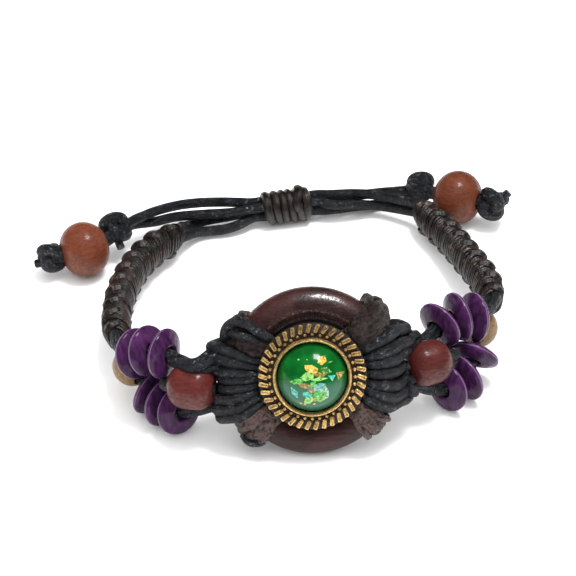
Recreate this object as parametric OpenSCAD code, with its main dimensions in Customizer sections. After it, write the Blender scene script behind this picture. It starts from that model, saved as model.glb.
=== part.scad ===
// Wooden bead bracelet: a turned wooden ring with a brass setting, tied with waxed
// cord between two strings of discs and beads, two knotted bands and a sliding knot.
// Millimetres, +Z up, the table at Z = 0. The ring leans back and faces -Y.

/* [Ring] */
// Radius of the wooden ring, to the middle of its rod
ring_r = 11.15; // [11:0.05:11.3]
// Radius of the rod that the ring is turned from
rod_r = 3.1; // [3:0.05:3.2]
// How far the ring leans back from upright, in degrees
lean = 26; // [25:0.5:27]

/* [Setting and stone] */
// Radius of the brass plate
plate_r = 9; // [8.8:0.05:9]
// Number of slanted bars round the plate
bar_count = 38; // [30:1:40]
// Slant of the bars from the radius, in degrees
bar_slant = 25; // [0:1:35]
// Number of beads between the bars and the bezel
grain_count = 33; // [28:1:34]
// Outer radius of the bezel that holds the stone
bezel_r = 6.5; // [6.4:0.05:6.6]
// Radius of the stone
stone_r = 5.9; // [5.6:0.05:5.95]
// Height of the stone's crown above its seat
stone_h = 4.2; // [3.5:0.1:4.4]

/* [Waxed cord] */
// Diameter of the black cord that is tied round the ring
wrap_cord_d = 1.9; // [1.7:0.05:1.9]
// Diameter of the brown cord of the bindings
binding_cord_d = 1.7; // [1.5:0.05:1.7]
// Diameter of the threads through the discs
thread_d = 1.8; // [1.5:0.05:1.8]
// Diameter of the threads through the front beads
bead_thread_d = 1.4; // [1.2:0.05:1.4]
// Diameter of the drawcords
drawcord_d = 1.9; // [1.7:0.05:1.9]

/* [Discs and beads] */
// Diameter of a disc
disc_d = 8.7; // [8.4:0.05:8.7]
// Thickness of a disc at its middle
disc_t = 3.2; // [3:0.05:3.2]
// Rounding of a disc's rim
disc_rim = 0.7; // [0.6:0.05:0.8]
// Rounding of the edge of a disc's hole
disc_lip = 0.45; // [0.3:0.05:0.5]
// Hole through the discs
disc_hole_d = 2.8; // [2.7:0.05:3]
// Hole through the front and side beads
bead_hole_d = 2.8; // [2.8:0.05:3]
// Hole through the end beads
end_bead_hole_d = 2.9; // [2.9:0.05:3.2]

/* [Knotted bands] */
// Width of a band, over its knots
band_w = 6.4; // [6:0.1:6.6]
// Thickness of a band, over its knots
band_t = 5.0; // [4.6:0.1:5]
// Length of one knot along the band
knot_pitch = 4.2; // [3.8:0.1:4.6]
// How far the top of a band leans outwards, in degrees
band_lean = 22; // [15:1:25]

/* [Sliding knot] */
// Length of the sliding knot
slide_l = 9.2; // [9:0.1:9.4]
// Number of turns in the sliding knot
slide_turns = 6; // [5:1:7]
// Outer diameter of the sliding knot
slide_d = 6.6; // [6.5:0.05:6.7]

/* [Hidden] */

// The rows below stand in a layout whose origin is under the ring's centre. This is
// the place in it of the middle of the bracelet's own box, which is the origin.
middle = [-1.15, 29, 0];
ring_h = ring_r * cos(lean) + rod_r;
gap = 0.12;

// Colours, as on the real piece
wood_red = "#3a2020";
brass = "#b08a3c";
stone_green = "#1f7a45";
cord_black = "#1c1f26";
cord_brown = "#3a2c28";
disc_purple = "#4b2a63";
bead_mauve = "#7d413e";
bead_olive = "#8a744c";
bead_orange = "#9a5236";

// Heights in front of the ring's plane
plate_back = 4.45;
plate_top = 5.5;
seat_z = 5.4;
bezel_top = 7.4;

// Discs. Columns: name, x, y, z of the middle, yaw and tilt of the axis towards the ring
DISCS_LEFT_UPPER = [
    ["disc_left_upper_1", -24.9, 2.2, 14.9, -32, 8],
    ["disc_left_upper_2", -27.8, 4.3, 13.9, -38, 20],
    ["disc_left_upper_3", -29.9, 6.0, 12.0, -42, 24]
];
DISCS_LEFT_LOWER = [
    ["disc_left_lower_1", -22.6, 0.0, 4.5, -51, 14],
    ["disc_left_lower_2", -25.3, 2.3, 4.4, -42, 4],
    ["disc_left_lower_3", -27.55, 5.35, 4.35, -38, -9]
];
DISCS_RIGHT_UPPER = [
    ["disc_right_upper_1", 22.1, 12.6, 13.2, 228, -10],
    ["disc_right_upper_2", 25.3, 15.0, 13.1, 210, 0],
    ["disc_right_upper_3", 28.2, 16.9, 11.6, 208, 12]
];
DISCS_RIGHT_LOWER = [
    ["disc_right_lower_1", 23.4, 6.3, 4.4, 225, 5],
    ["disc_right_lower_2", 26.5, 9.1, 4.4, 221, -6],
    ["disc_right_lower_3", 28.5, 13.8, 5.7, 246, -31]
];

// Turned beads. Columns: name, x, y, z of the middle, yaw, tilt, diameter, length,
// rounding of the shoulders, hole, colour
BEADS = [
    ["front_bead_left", -20.2, -2.3, 11.3, -16, 6, 7.7, 8.3, 3.3, bead_hole_d, bead_mauve],
    ["front_bead_right", 19.8, 4.6, 11.1, 204, 0, 7.7, 8.1, 3.3, bead_hole_d, bead_mauve],
    ["side_bead_left", -30.9, 10.3, 6.0, -59, -14, 7.0, 7.0, 3.5, bead_hole_d, bead_olive],
    ["side_bead_right", 29.5, 21.5, 5.9, 259, 6, 7.0, 7.0, 3.5, bead_hole_d, bead_olive],
    ["end_bead_left", -41.6, 46.6, 5.12, 22, 6, 10.2, 8.8, 4.4, end_bead_hole_d, bead_orange],
    ["end_bead_right", 28.2, 63.7, 5.12, 152, -6, 10.2, 8.8, 4.4, end_bead_hole_d, bead_orange]
];

// Bindings. Columns: name, angles round the ring of the turns, in degrees
BINDINGS = [
    ["binding_top_left", [141, 149, 157]],
    ["binding_top_right", [37, 45, 53]],
    ["binding_bottom_left", [218, 225, 232]],
    ["binding_bottom_right", [312, 319, 326]]
];

// Edges of the cord wraps. Columns: distance from the ring's axis, angle up from the side
WRAP_LEFT_TOP = [[7, 15], [11.2, 18], [14, 19], [15.6, 19], [17.4, 16], [18.6, 11]];
WRAP_LEFT_BOTTOM = [[7, -30], [11.2, -33], [14, -34], [15.6, -32], [17.4, -30], [18.6, -25]];
WRAP_RIGHT_TOP = [[7, 29], [11.2, 32], [15.4, 33], [17, 28], [18, 22], [19, 17]];
WRAP_RIGHT_BOTTOM = [[7, -26], [11.2, -29], [14.2, -29], [15.7, -24], [17.4, -22], [18.4, -15]];

// Cord wraps. Columns: name, side, top edge, bottom edge, strands, how far the tip is
// bent back, reach of the tip, then distance, angle and radius of the hollow for the bead
WRAPS = [
    ["cord_wrap_left", -1, WRAP_LEFT_TOP, WRAP_LEFT_BOTTOM, 6, 0.3, 18.2, 20.3, -7.5, 4.55],
    ["cord_wrap_right", 1, WRAP_RIGHT_TOP, WRAP_RIGHT_BOTTOM, 6, -3.6, 18.0, 19.8, 0.6, 4.7]
];

// Threads, from the bunch to the band. A row with three columns is a free point: x, y, z.
THREAD_LEFT_UPPER = concat(
    [[-18.3, 1.4, 15.7], [-20.8, 1.2, 15.0]], DISCS_LEFT_UPPER, [[-33.2, 9.6, 10.6], [-34.0, 13.7, 9.9]]
);
THREAD_LEFT_MIDDLE = [
    [-16.4, -3.6, 11.8], BEADS[0], [-24.5, -0.9, 10.4], [-24.6, 1.9, 9.6], [-24.2, 4.6, 9.3],
    [-25.0, 8.4, 8.9], [-27.4, 12.6, 9.0], [-31.3, 15.0, 8.7]
];
THREAD_LEFT_LOWER = concat(
    [[-18.6, -2.2, 6.5]], DISCS_LEFT_LOWER, [BEADS[2], [-33.1, 13.6, 7.1]]
);
THREAD_RIGHT_UPPER = concat(
    [[17.8, 6.2, 16.4], [19.0, 8.2, 15.0]], DISCS_RIGHT_UPPER, [[31.4, 20.6, 10.6], [32.8, 24.4, 10.0]]
);
THREAD_RIGHT_MIDDLE = [
    [16.4, 3.0, 11.1], BEADS[1], [24.2, 7.4, 10.3], [23.7, 10.6, 8.6], [23.6, 14.0, 7.5],
    [24.6, 18.0, 7.6], [26.0, 21.4, 9.2], [28.6, 23.6, 10.3], [30.9, 24.2, 9.3]
];
THREAD_RIGHT_LOWER = concat(
    [[17.5, 2.4, 6.1], [19.3, 4.2, 5.5]], DISCS_RIGHT_LOWER, [[28.9, 16.9, 6.5], BEADS[3], [30.4, 25.7, 5.5]]
);

// Bands. Columns: x, y, z of the middle line, from the beads to the drawcords
BAND_LEFT = [
    [-33.6, 14.4, 8.5], [-34.2, 21.4, 7.6], [-33.9, 30.3, 6.6],
    [-31.9, 40.0, 5.6], [-29.0, 46.8, 4.8], [-24.4, 52.2, 4.4]
];
BAND_RIGHT = [
    [32.2, 25.1, 8.5], [31.4, 32.9, 7.6], [28.4, 42.9, 6.2], [25.3, 51.7, 5.0], [21.0, 60.2, 4.4]
];

// Sliding knot: middle, and the way that its axis points
slide_middle = [-4.5, 63.3, 3.4];
slide_yaw = 12.5;
slide_bore_y = 1.02;
slide_bore_z = 1.0;

// Drawcords. Columns: x, y, z, from the end of the band through the sliding knot to
// the stopper knot on the far side. The four middle rows of each lie on one line.
DRAWCORD_LEFT_1 = [
    [-23.9, 52.4, 3.5], [-23.3, 53.6, 3.0], [-21.2, 56.5, 2.0], [-18.5, 57.8, 1.5],
    [-15.8, 58.2, 1.6], [-13.1, 59.2, 2.0], [-10.6, 60.9, 2.4], [-8.8, 61.3, 2.4],
    [0.2, 63.3, 2.4], [2.0, 63.7, 2.2], [3.8, 64.4, 1.8], [8.5, 66.2, 1.3],
    [12.7, 67.2, 1.1], [15.6, 67.9, 1.2], [18.2, 68.8, 1.75]
];
DRAWCORD_LEFT_2 = [
    [-24.2, 53.1, 5.4], [-24.0, 55.2, 4.3], [-23.5, 57.5, 2.7], [-22.0, 59.3, 2.0],
    [-19.5, 60.6, 1.9], [-14.0, 62.0, 2.2], [-11.0, 62.9, 2.4], [-9.2, 63.3, 2.4],
    [-0.2, 65.3, 2.4], [1.6, 65.7, 2.4], [4.0, 66.5, 2.4], [8.6, 68.1, 2.4],
    [12.7, 68.6, 2.8], [17.5, 67.9, 3.8]
];
DRAWCORD_RIGHT_1 = [
    [20.9, 60.8, 5.4], [20.0, 61.5, 5.2], [16.9, 63.3, 4.9], [12.7, 65.3, 4.6],
    [8.5, 66.0, 4.4], [3.6, 65.7, 4.4], [1.6, 65.7, 4.4], [-0.2, 65.3, 4.4],
    [-9.2, 63.3, 4.4], [-11.0, 62.9, 4.4], [-13.5, 63.2, 4.3], [-17.3, 63.6, 4.1],
    [-21.4, 63.6, 3.9], [-25.2, 62.4, 4.1], [-29.4, 58.7, 5.2], [-32.6, 55.0, 6.0]
];
DRAWCORD_RIGHT_2 = [
    [20.6, 60.7, 3.5], [16.9, 63.2, 2.8], [12.7, 64.8, 2.5], [8.5, 63.8, 3.4],
    [3.8, 63.0, 4.0], [2.0, 63.7, 4.2], [0.2, 63.3, 4.4], [-8.8, 61.3, 4.4],
    [-10.6, 60.9, 4.4], [-14.0, 59.9, 4.3], [-19.4, 59.4, 4.2], [-23.0, 59.1, 4.1],
    [-26.0, 59.0, 3.7], [-29.3, 58.6, 3.0], [-32.8, 56.5, 3.9]
];

// Stopper and end knots. Columns: name, x, y, z, yaw of the cord, size of the knot
STOPPER_KNOTS = [
    ["stopper_knot_left", -36.0, 52.6, 5.5, 50, 0.95],
    ["stopper_knot_right", 21.2, 68.2, 4.0, 170, 0.95]
];
END_KNOTS = [
    ["end_knot_left", -47.7, 45.3, 4.2, 22, 0.86],
    ["end_knot_right", 34.7, 61.3, 5.5, 152, 1.05]
];

// Steps of the swept and lofted pieces
thread_step = 1.3;
drawcord_step = 3.6;
tube_sides = 8;
wrap_sides = 16;
band_sides = 16;
levels_per_strand = 4;
rings_per_knot = 4;
$fn = 48;

// Vector and path helpers
function unit(v) = v / norm(v);
function axis_of(yaw, tilt) = [cos(tilt) * cos(yaw), cos(tilt) * sin(yaw), sin(tilt)];
function place_of(row) = [row[1], row[2], row[3]];

function hermite(a, b, da, db, t) =
    (2 * t * t * t - 3 * t * t + 1) * a + (t * t * t - 2 * t * t + t) * da
    + (3 * t * t - 2 * t * t * t) * b + (t * t * t - t * t) * db;

// Way of the path at each point, from the points on either side of it
function ways(points) = [
    for (i = [0:len(points) - 1])
        unit(points[min(i + 1, len(points) - 1)] - points[max(i - 1, 0)])
];

// Points at an even step on the smooth curve through the points
function curve(points, directions, step) = [
    for (i = [0:len(points) - 2])
        let (
            span = norm(points[i + 1] - points[i]),
            parts = ceil(span / step)
        )
        for (j = [0:parts - (i == len(points) - 2 ? 0 : 1)])
            hermite(points[i], points[i + 1], span * directions[i], span * directions[i + 1], j / parts)
];

// A round ring of points across the path at p, which runs along way
function round_ring(p, way, r) =
    let (
        side = unit(cross(way, [0, 0, 1])),
        up = cross(side, way)
    )
    [for (i = [0:tube_sides - 1]) p + r * (cos(360 * i / tube_sides) * side + sin(360 * i / tube_sides) * up)];

function tube_rings(path, r) =
    let (path_ways = ways(path))
    [for (i = [0:len(path) - 1]) round_ring(path[i], path_ways[i], r)];

function flat_list(lists) = [for (list = lists) for (item = list) item];

// Side faces between n-sided rings whose points start at the index first
function side_faces(first, ring_count, n) = [
    for (k = [0:ring_count - 2])
        for (i = [0:n - 1])
            let (j = (i + 1) % n)
            [first + k * n + i, first + k * n + j, first + (k + 1) * n + j, first + (k + 1) * n + i]
];

function turned_over(faces) = [for (face = faces) [for (i = [len(face) - 1:-1:0]) face[i]]];

// Place and way of a row of a thread: the way through a disc or bead is half its own axis
function row_place(row) = len(row) == 3 ? row : place_of(row);
function row_way(rows, i) =
    let (
        after = row_place(rows[min(i + 1, len(rows) - 1)]),
        before = row_place(rows[max(i - 1, 0)]),
        through = unit(after - before)
    )
    len(rows[i]) == 3 ? through : unit(through - axis_of(rows[i][4], rows[i][5]));

// A closed solid through rings of points
module skin(rings) {
    n = len(rings[0]);
    start_cap = [for (i = [n - 1:-1:0]) i];
    end_cap = [for (i = [0:n - 1]) (len(rings) - 1) * n + i];
    faces = concat([start_cap], side_faces(0, len(rings), n), [end_cap]);
    polyhedron(points = flat_list(rings), faces = faces, convexity = 6);
}

// A closed sleeve between outer and inner rings of points
module sleeve(outer, inner) {
    n = len(outer[0]);
    count = len(outer);
    inner_first = count * n;
    caps = [
        for (i = [0:n - 1])
            let (j = (i + 1) % n)
            each [
                [j, i, inner_first + i, inner_first + j],
                [inner_first - n + i, inner_first - n + j, 2 * inner_first - n + j, 2 * inner_first - n + i]
            ]
    ];
    faces = concat(side_faces(0, count, n), turned_over(side_faces(inner_first, count, n)), caps);
    polyhedron(points = concat(flat_list(outer), flat_list(inner)), faces = faces, convexity = 6);
}

// Moves the layout so that the middle of its box is the origin
module placed() {
    translate(-middle) children();
}

// Puts what is drawn flat, facing +Z, into the leaning plane of the ring
module in_ring_plane() {
    placed() translate([0, 0, ring_h]) rotate([90 - lean, 0, 0]) children();
}

// Stands what is drawn round Z on an axis with this yaw and tilt
module on_axis(place, yaw, tilt) {
    placed() translate(place) rotate([0, 90 - tilt, yaw]) children();
}

module torus(major, minor) {
    rotate_extrude() translate([major, 0]) circle(r = minor);
}

module wood_ring() {
    color(wood_red) in_ring_plane() torus(ring_r, rod_r);
}

// The plate with its bezel, slanted bars and row of grains, all one casting
module setting() {
    bar_r = 0.46;
    bar_l = 1.25;
    bar_middle_r = 8.15;
    grain_r = 0.36;
    grain_row_r = 7.02;
    inside_r = stone_r + 0.1;
    color(brass) in_ring_plane() {
        rotate_extrude() polygon([
            [0, plate_back], [plate_r - 0.4, plate_back], [plate_r, plate_back + 0.4],
            [plate_r, plate_top - 0.2], [plate_r - 0.2, plate_top], [bezel_r, plate_top],
            [bezel_r, bezel_top - 0.2], [bezel_r - 0.2, bezel_top], [inside_r, bezel_top],
            [inside_r, seat_z], [0, seat_z]
        ]);
        for (i = [0:bar_count - 1])
            rotate([0, 0, 360 * i / bar_count]) translate([bar_middle_r, 0, plate_top])
                rotate([0, 0, -bar_slant]) rotate([0, 90, 0])
                    cylinder(h = bar_l, r = bar_r, center = true);
        for (i = [0:grain_count - 1])
            rotate([0, 0, 360 * i / grain_count]) translate([grain_row_r, 0, plate_top]) sphere(r = grain_r);
    }
}

// A domed cabochon standing on the seat inside the bezel
module stone() {
    seat_gap = 0.05;
    dome_r = (stone_r * stone_r + stone_h * stone_h) / (2 * stone_h) + 0.05;
    color(stone_green) in_ring_plane() intersection() {
        translate([0, 0, seat_z + seat_gap]) cylinder(h = stone_h, r = stone_r);
        translate([0, 0, seat_z + seat_gap + stone_h - dome_r]) sphere(r = dome_r);
    }
}

// A hitch of black cords round one side of the ring, gathered into a bunch outside it
module cord_wrap(row) {
    side = row[1];
    top_edge = row[2];
    bottom_edge = row[3];
    strands = row[4];
    tip_back = row[5];
    tip_reach = row[6];
    bead_out = row[7];
    bead_angle = row[8];
    bead_clear = row[9];
    under_plate = plate_back - 0.15;
    plate_clear_r = plate_r + 0.7;
    levels = strands * levels_per_strand;
    bore_r = (rod_r + gap) / cos(180 / wrap_sides);
    step = 360 / wrap_sides;

    function angle_at(t, out) = lookup(out, bottom_edge) * (1 - t) + lookup(out, top_edge) * t;
    // Roundness of the strand at this level, from 0 between strands to 1 on a crest
    function crest(t) = sqrt(abs(sin(180 * strands * t)));
    function reach(t) =
        let (
            aside = angle_at(t, 17) - bead_angle,
            off = bead_out * sin(aside)
        )
        min(tip_reach, abs(off) < bead_clear
            ? bead_out * cos(aside) - sqrt(bead_clear * bead_clear - off * off)
            : tip_reach) - 0.35 * (1 - crest(t));
    function at(t, out, z) =
        let (a = angle_at(t, out))
        [side * out * cos(a), out * sin(a), z];
    function outer_point(t, a) =
        let (
            cover = rod_r + gap + wrap_cord_d * (0.55 + 0.45 * crest(t)),
            beyond = cos(a) > 0,
            out = ring_r + (beyond ? reach(t) - ring_r : cover) * cos(a),
            bend = (reach(t) - ring_r - rod_r) / (tip_reach - ring_r - rod_r),
            back = beyond ? tip_back * bend * cos(a) * cos(a) : 0,
            z = back + cover * sin(a)
        )
        at(t, out, out < plate_clear_r ? min(z, under_plate) : z);

    outer = [for (k = [0:levels]) [for (i = [0:wrap_sides - 1]) outer_point(k / levels, side * i * step)]];
    inner = [
        for (k = [0:levels])
            [for (i = [0:wrap_sides - 1])
                at(k / levels, ring_r + bore_r * cos(i * step), side * bore_r * sin(i * step))]
    ];
    color(cord_black) in_ring_plane() sleeve(outer, inner);
}

// Turns of brown cord tied tightly round the ring's rod
module binding(row) {
    turn_r = rod_r + gap + binding_cord_d / 2;
    color(cord_brown) in_ring_plane() for (angle = row[1])
        rotate([0, 0, angle]) translate([ring_r, 0, 0]) rotate([90, 0, 0]) torus(turn_r, binding_cord_d / 2);
}

// A domed disc with a rounded rim and a rounded hole. Two large arcs make the domes.
module disc(row) {
    rim_r = disc_d / 2 - disc_rim;
    rise = disc_t / 2 - disc_rim;
    dome_z = (rim_r * rim_r - rise * rise) / (2 * rise);
    dome_r = dome_z + disc_t / 2;
    rim_edge = rim_r * dome_r / (dome_r - disc_rim);
    lip_r = disc_hole_d / 2 + disc_lip;
    lip_z = sqrt(pow(dome_r - disc_lip, 2) - lip_r * lip_r) - dome_z;
    lip_edge = lip_r * dome_r / (dome_r - disc_lip);
    color(disc_purple) on_axis(place_of(row), row[4], row[5]) rotate_extrude() {
        intersection() {
            translate([0, -dome_z]) circle(r = dome_r, $fn = 360);
            translate([0, dome_z]) circle(r = dome_r, $fn = 360);
            translate([lip_edge, -disc_t]) square([rim_edge - lip_edge, 2 * disc_t]);
        }
        translate([disc_hole_d / 2, -lip_z]) square([disc_lip + 0.3, 2 * lip_z]);
        translate([rim_r, 0]) circle(r = disc_rim);
        for (z = [-lip_z, lip_z]) translate([lip_r, z]) circle(r = disc_lip);
    }
}

// A turned bead with rounded shoulders, drilled through
module bead(row) {
    d = row[6];
    length = row[7];
    round_r = row[8];
    flat_r = d / 2 - round_r;
    flat_z = length / 2 - round_r;
    color(row[10]) on_axis(place_of(row), row[4], row[5]) rotate_extrude() intersection() {
        translate([row[9] / 2, -length]) square(2 * length);
        union() {
            for (z = [-flat_z, flat_z]) translate([flat_r, z]) circle(r = round_r);
            if (flat_r > 0) translate([0, -length / 2]) square([flat_r, length]);
            if (flat_z > 0) translate([0, -flat_z]) square([d / 2, 2 * flat_z]);
        }
    }
}

// A thread through the holes of its discs and beads
module thread(rows, d) {
    points = [for (row = rows) row_place(row)];
    directions = [for (i = [0:len(rows) - 1]) row_way(rows, i)];
    color(cord_black) placed() skin(tube_rings(curve(points, directions, thread_step), d / 2));
}

// One row of square knots: its section swells over each knot and is narrow at both ends
module band(points) {
    path = curve(points, ways(points), knot_pitch / rings_per_knot);
    path_ways = ways(path);
    count = len(path) - 1;
    taper_rings = 3;
    outwards = points[1][0] > 0 ? 1 : -1;

    function swell(k) = sqrt(abs(sin(180 * k / rings_per_knot)));
    function taper(k) = min(1, 0.72 + 0.28 * min(k, count - k) / taper_rings);
    function ring(k) =
        let (
            out = unit(outwards * cross(path_ways[k], [0, 0, 1])),
            up = unit([0, 0, cos(band_lean)] + sin(band_lean) * out),
            across = unit(cross(up, path_ways[k])),
            half_w = band_w / 2 * taper(k) * (0.84 + 0.16 * swell(k)),
            half_t = band_t / 2 * taper(k) * (0.86 + 0.14 * swell(k))
        )
        [for (i = [0:band_sides - 1])
            let (a = 360 * i / band_sides)
            path[k] + half_t * cos(a) * across + half_w * sin(a) * up];

    color(cord_brown) placed() skin([for (k = [0:count]) ring(k)]);
}

// Turns of brown cord round four drawcords, which slide in its bores
module sliding_knot() {
    turn_pitch = slide_l / slide_turns;
    turn_r = turn_pitch / 2 + 0.02;
    core_r = slide_d / 2 - turn_r;
    lump_r = 1.25;
    bore_d = drawcord_d + 2 * gap;
    color(cord_brown) on_axis(slide_middle, slide_yaw, 0) difference() {
        union() {
            cylinder(h = slide_l - turn_pitch, r = core_r + 0.2, center = true);
            for (i = [0:slide_turns - 1])
                translate([0, 0, (i + 0.5) * turn_pitch - slide_l / 2]) torus(core_r, turn_r);
            translate([-core_r, 0.6, slide_l / 2 - 1.6]) sphere(r = lump_r);
        }
        for (y = [-slide_bore_y, slide_bore_y])
            for (z = [-slide_bore_z, slide_bore_z])
                translate([z, y, 0]) cylinder(h = slide_l + 4, d = bore_d, center = true);
        cylinder(h = slide_l + 4, r = slide_bore_y, center = true);
    }
}

// One drawcord, swept along its own points
module drawcord(points) {
    color(cord_black) placed() skin(tube_rings(curve(points, ways(points), drawcord_step), drawcord_d / 2));
}

// An overhand knot: three rounds of cord drawn tight over each other
module knot(size) {
    round_r = 1.45 * size;
    cord_r = 1.45 * size;
    sphere(r = 2.2 * size);
    translate([0.7 * size, 0, 0]) rotate([70, 20, 0]) torus(round_r, cord_r);
    translate([-0.9 * size, 0.5 * size, 0.4 * size]) rotate([10, 75, 25]) torus(round_r, cord_r);
    translate([0.1 * size, -0.7 * size, -0.5 * size]) rotate([110, -40, 60]) torus(round_r, 0.9 * cord_r);
}

// A knot drawn up against its bead
module stopper_knot(row, bead_row) {
    color(cord_black) difference() {
        placed() translate(place_of(row)) rotate([0, 0, row[4]]) knot(row[5]);
        placed() translate(place_of(bead_row)) sphere(d = bead_row[6] + 2 * gap);
    }
}

// The knot at the tip, with the cord that runs back through the end bead
module end_knot(row, bead_row) {
    core_d = end_bead_hole_d - 2 * gap;
    core_l = bead_row[7] / 2 + 2.5;
    stopper_knot(row, bead_row);
    color(cord_black) on_axis(place_of(bead_row), bead_row[4], bead_row[5])
        translate([0, 0, -core_l]) cylinder(h = core_l + bead_row[7] / 2 - 0.2, d = core_d);
}

wood_ring();
setting();
stone();
for (row = WRAPS) cord_wrap(row);
for (row = BINDINGS) binding(row);
for (rows = [DISCS_LEFT_UPPER, DISCS_LEFT_LOWER, DISCS_RIGHT_UPPER, DISCS_RIGHT_LOWER])
    for (row = rows) disc(row);
for (row = BEADS) bead(row);

thread(THREAD_LEFT_UPPER, thread_d);  // thread_left_upper
thread(THREAD_LEFT_MIDDLE, bead_thread_d);  // thread_left_middle
thread(THREAD_LEFT_LOWER, thread_d);  // thread_left_lower
thread(THREAD_RIGHT_UPPER, thread_d);  // thread_right_upper
thread(THREAD_RIGHT_MIDDLE, bead_thread_d);  // thread_right_middle
thread(THREAD_RIGHT_LOWER, thread_d);  // thread_right_lower
band(BAND_LEFT);  // band_left
band(BAND_RIGHT);  // band_right
sliding_knot();
drawcord(DRAWCORD_LEFT_1);  // drawcord_left_1
drawcord(DRAWCORD_LEFT_2);  // drawcord_left_2
drawcord(DRAWCORD_RIGHT_1);  // drawcord_right_1
drawcord(DRAWCORD_RIGHT_2);  // drawcord_right_2
stopper_knot(STOPPER_KNOTS[0], BEADS[4]);  // stopper_knot_left
stopper_knot(STOPPER_KNOTS[1], BEADS[5]);  // stopper_knot_right
end_knot(END_KNOTS[0], BEADS[4]);  // end_knot_left
end_knot(END_KNOTS[1], BEADS[5]);  // end_knot_right
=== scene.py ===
"""Dresses the bead bracelet: waxed cords and knots, a gold setting with its stone, finishes and a studio."""

import math

import bmesh
import bpy
from bpy.props import FloatProperty, FloatVectorProperty, IntProperty, PointerProperty
from bpy.types import Operator, Panel, PropertyGroup
from mathutils import Matrix, Vector, noise


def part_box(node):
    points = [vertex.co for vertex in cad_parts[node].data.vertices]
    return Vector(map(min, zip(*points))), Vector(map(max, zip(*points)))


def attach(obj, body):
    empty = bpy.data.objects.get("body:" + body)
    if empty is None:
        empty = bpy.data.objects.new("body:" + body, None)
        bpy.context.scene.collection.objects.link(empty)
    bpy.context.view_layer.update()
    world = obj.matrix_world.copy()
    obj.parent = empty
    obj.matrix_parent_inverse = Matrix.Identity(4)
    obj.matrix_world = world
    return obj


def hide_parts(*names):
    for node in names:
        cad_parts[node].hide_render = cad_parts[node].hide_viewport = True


bl_info = {
    "name": "Bead Bracelet",
    "version": (1, 0, 0),
    "blender": (4, 5, 0),
    "location": "View3D > Sidebar > Bracelet",
    "description": "Cords, knots, setting and finishes of a wooden bead bracelet",
    "category": "Object",
}

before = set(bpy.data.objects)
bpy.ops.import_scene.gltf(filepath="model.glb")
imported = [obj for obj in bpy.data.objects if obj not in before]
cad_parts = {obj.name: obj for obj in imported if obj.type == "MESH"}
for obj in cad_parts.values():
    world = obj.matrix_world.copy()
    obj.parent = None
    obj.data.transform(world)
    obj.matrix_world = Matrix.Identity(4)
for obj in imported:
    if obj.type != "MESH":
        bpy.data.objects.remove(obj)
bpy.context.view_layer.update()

MM = 0.001

# The rows of routes and beads stand in a layout whose origin is under the ring's
# centre, in millimetres. This is the place in it of the frame's origin.
MIDDLE = Vector((-1.15, 29, 0))


def place(x, y, z):
    """A point of the layout, in the frame and in metres."""
    return (Vector((x, y, z)) - MIDDLE) * MM


# Ring: radius of the rod's middle line and of the rod, lean from upright in degrees, and
# the room between the rod and a cord. Its middle comes from the frame.
RING_R = 11.15
ROD_R = 3.1
RING_LEAN = 26
GAP = 0.12
ring_low, ring_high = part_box("wood_ring")
RING_PLANE = (
    Matrix.Translation((ring_low + ring_high) / 2)
    @ Matrix.Rotation(math.radians(90 - RING_LEAN), 4, "X")
    @ Matrix.Scale(MM, 4)
)

# The ring's own axes, unscaled, for patterns that follow it
RING_AXES = Matrix.Translation(RING_PLANE.translation) @ RING_PLANE.to_quaternion().to_matrix().to_4x4()

# Heights in front of the ring's plane, in millimetres
PLATE_BACK = 4.45
PLATE_TOP = 5.5
SEAT = 5.4
BEZEL_TOP = 7.4

# Radii of the setting's plate and of the stone, and the stone's height over its seat
PLATE_R = 9.0
STONE_R = 5.9
STONE_H = 4.2

# Stone: height of its foot, radius of the dome's sphere and height of the sphere's middle
STONE_Z = SEAT + 0.05
DOME_R = (STONE_R**2 + STONE_H**2) / (2 * STONE_H) + 0.05
DOME_MIDDLE = STONE_Z + STONE_H - DOME_R

# Setting: its turned profile as radius and height, from the rim at the back to the seat
SETTING_PROFILE = [
    (8.6, PLATE_BACK), (PLATE_R, PLATE_BACK + 0.35), (PLATE_R, PLATE_TOP - 0.3), (8.75, PLATE_TOP - 0.05),
    (7.6, PLATE_TOP), (7.48, PLATE_TOP + 0.1), (7.36, PLATE_TOP), (6.7, PLATE_TOP), (6.52, PLATE_TOP + 0.3),
    (6.55, BEZEL_TOP - 0.85), (6.47, BEZEL_TOP - 0.6), (6.32, BEZEL_TOP - 0.5), (6.18, BEZEL_TOP - 0.56),
    (6.08, BEZEL_TOP - 0.85), (STONE_R + 0.08, SEAT),
]

# Bars of the setting: size, radius and height of their row, slant, bevel, rim and depth of the sunk
# top, and how much broader and lower they get outwards
BAR_SIZE = (1.6, 0.68, 0.8)
BAR_ROW_R = 8.22
BAR_Z = PLATE_TOP + 0.12
BAR_SLANT = -21
BAR_BEVEL = 0.2
BAR_RIM = 0.07
BAR_SUNK = 0.15
BAR_WIDENS = 1.14
BAR_FALLS = 0.1

# Grains of the setting: radius, then radius and height of their row
GRAIN_R = 0.31
GRAIN_ROW_R = 7.12
GRAIN_Z = PLATE_TOP + 0.1

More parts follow.
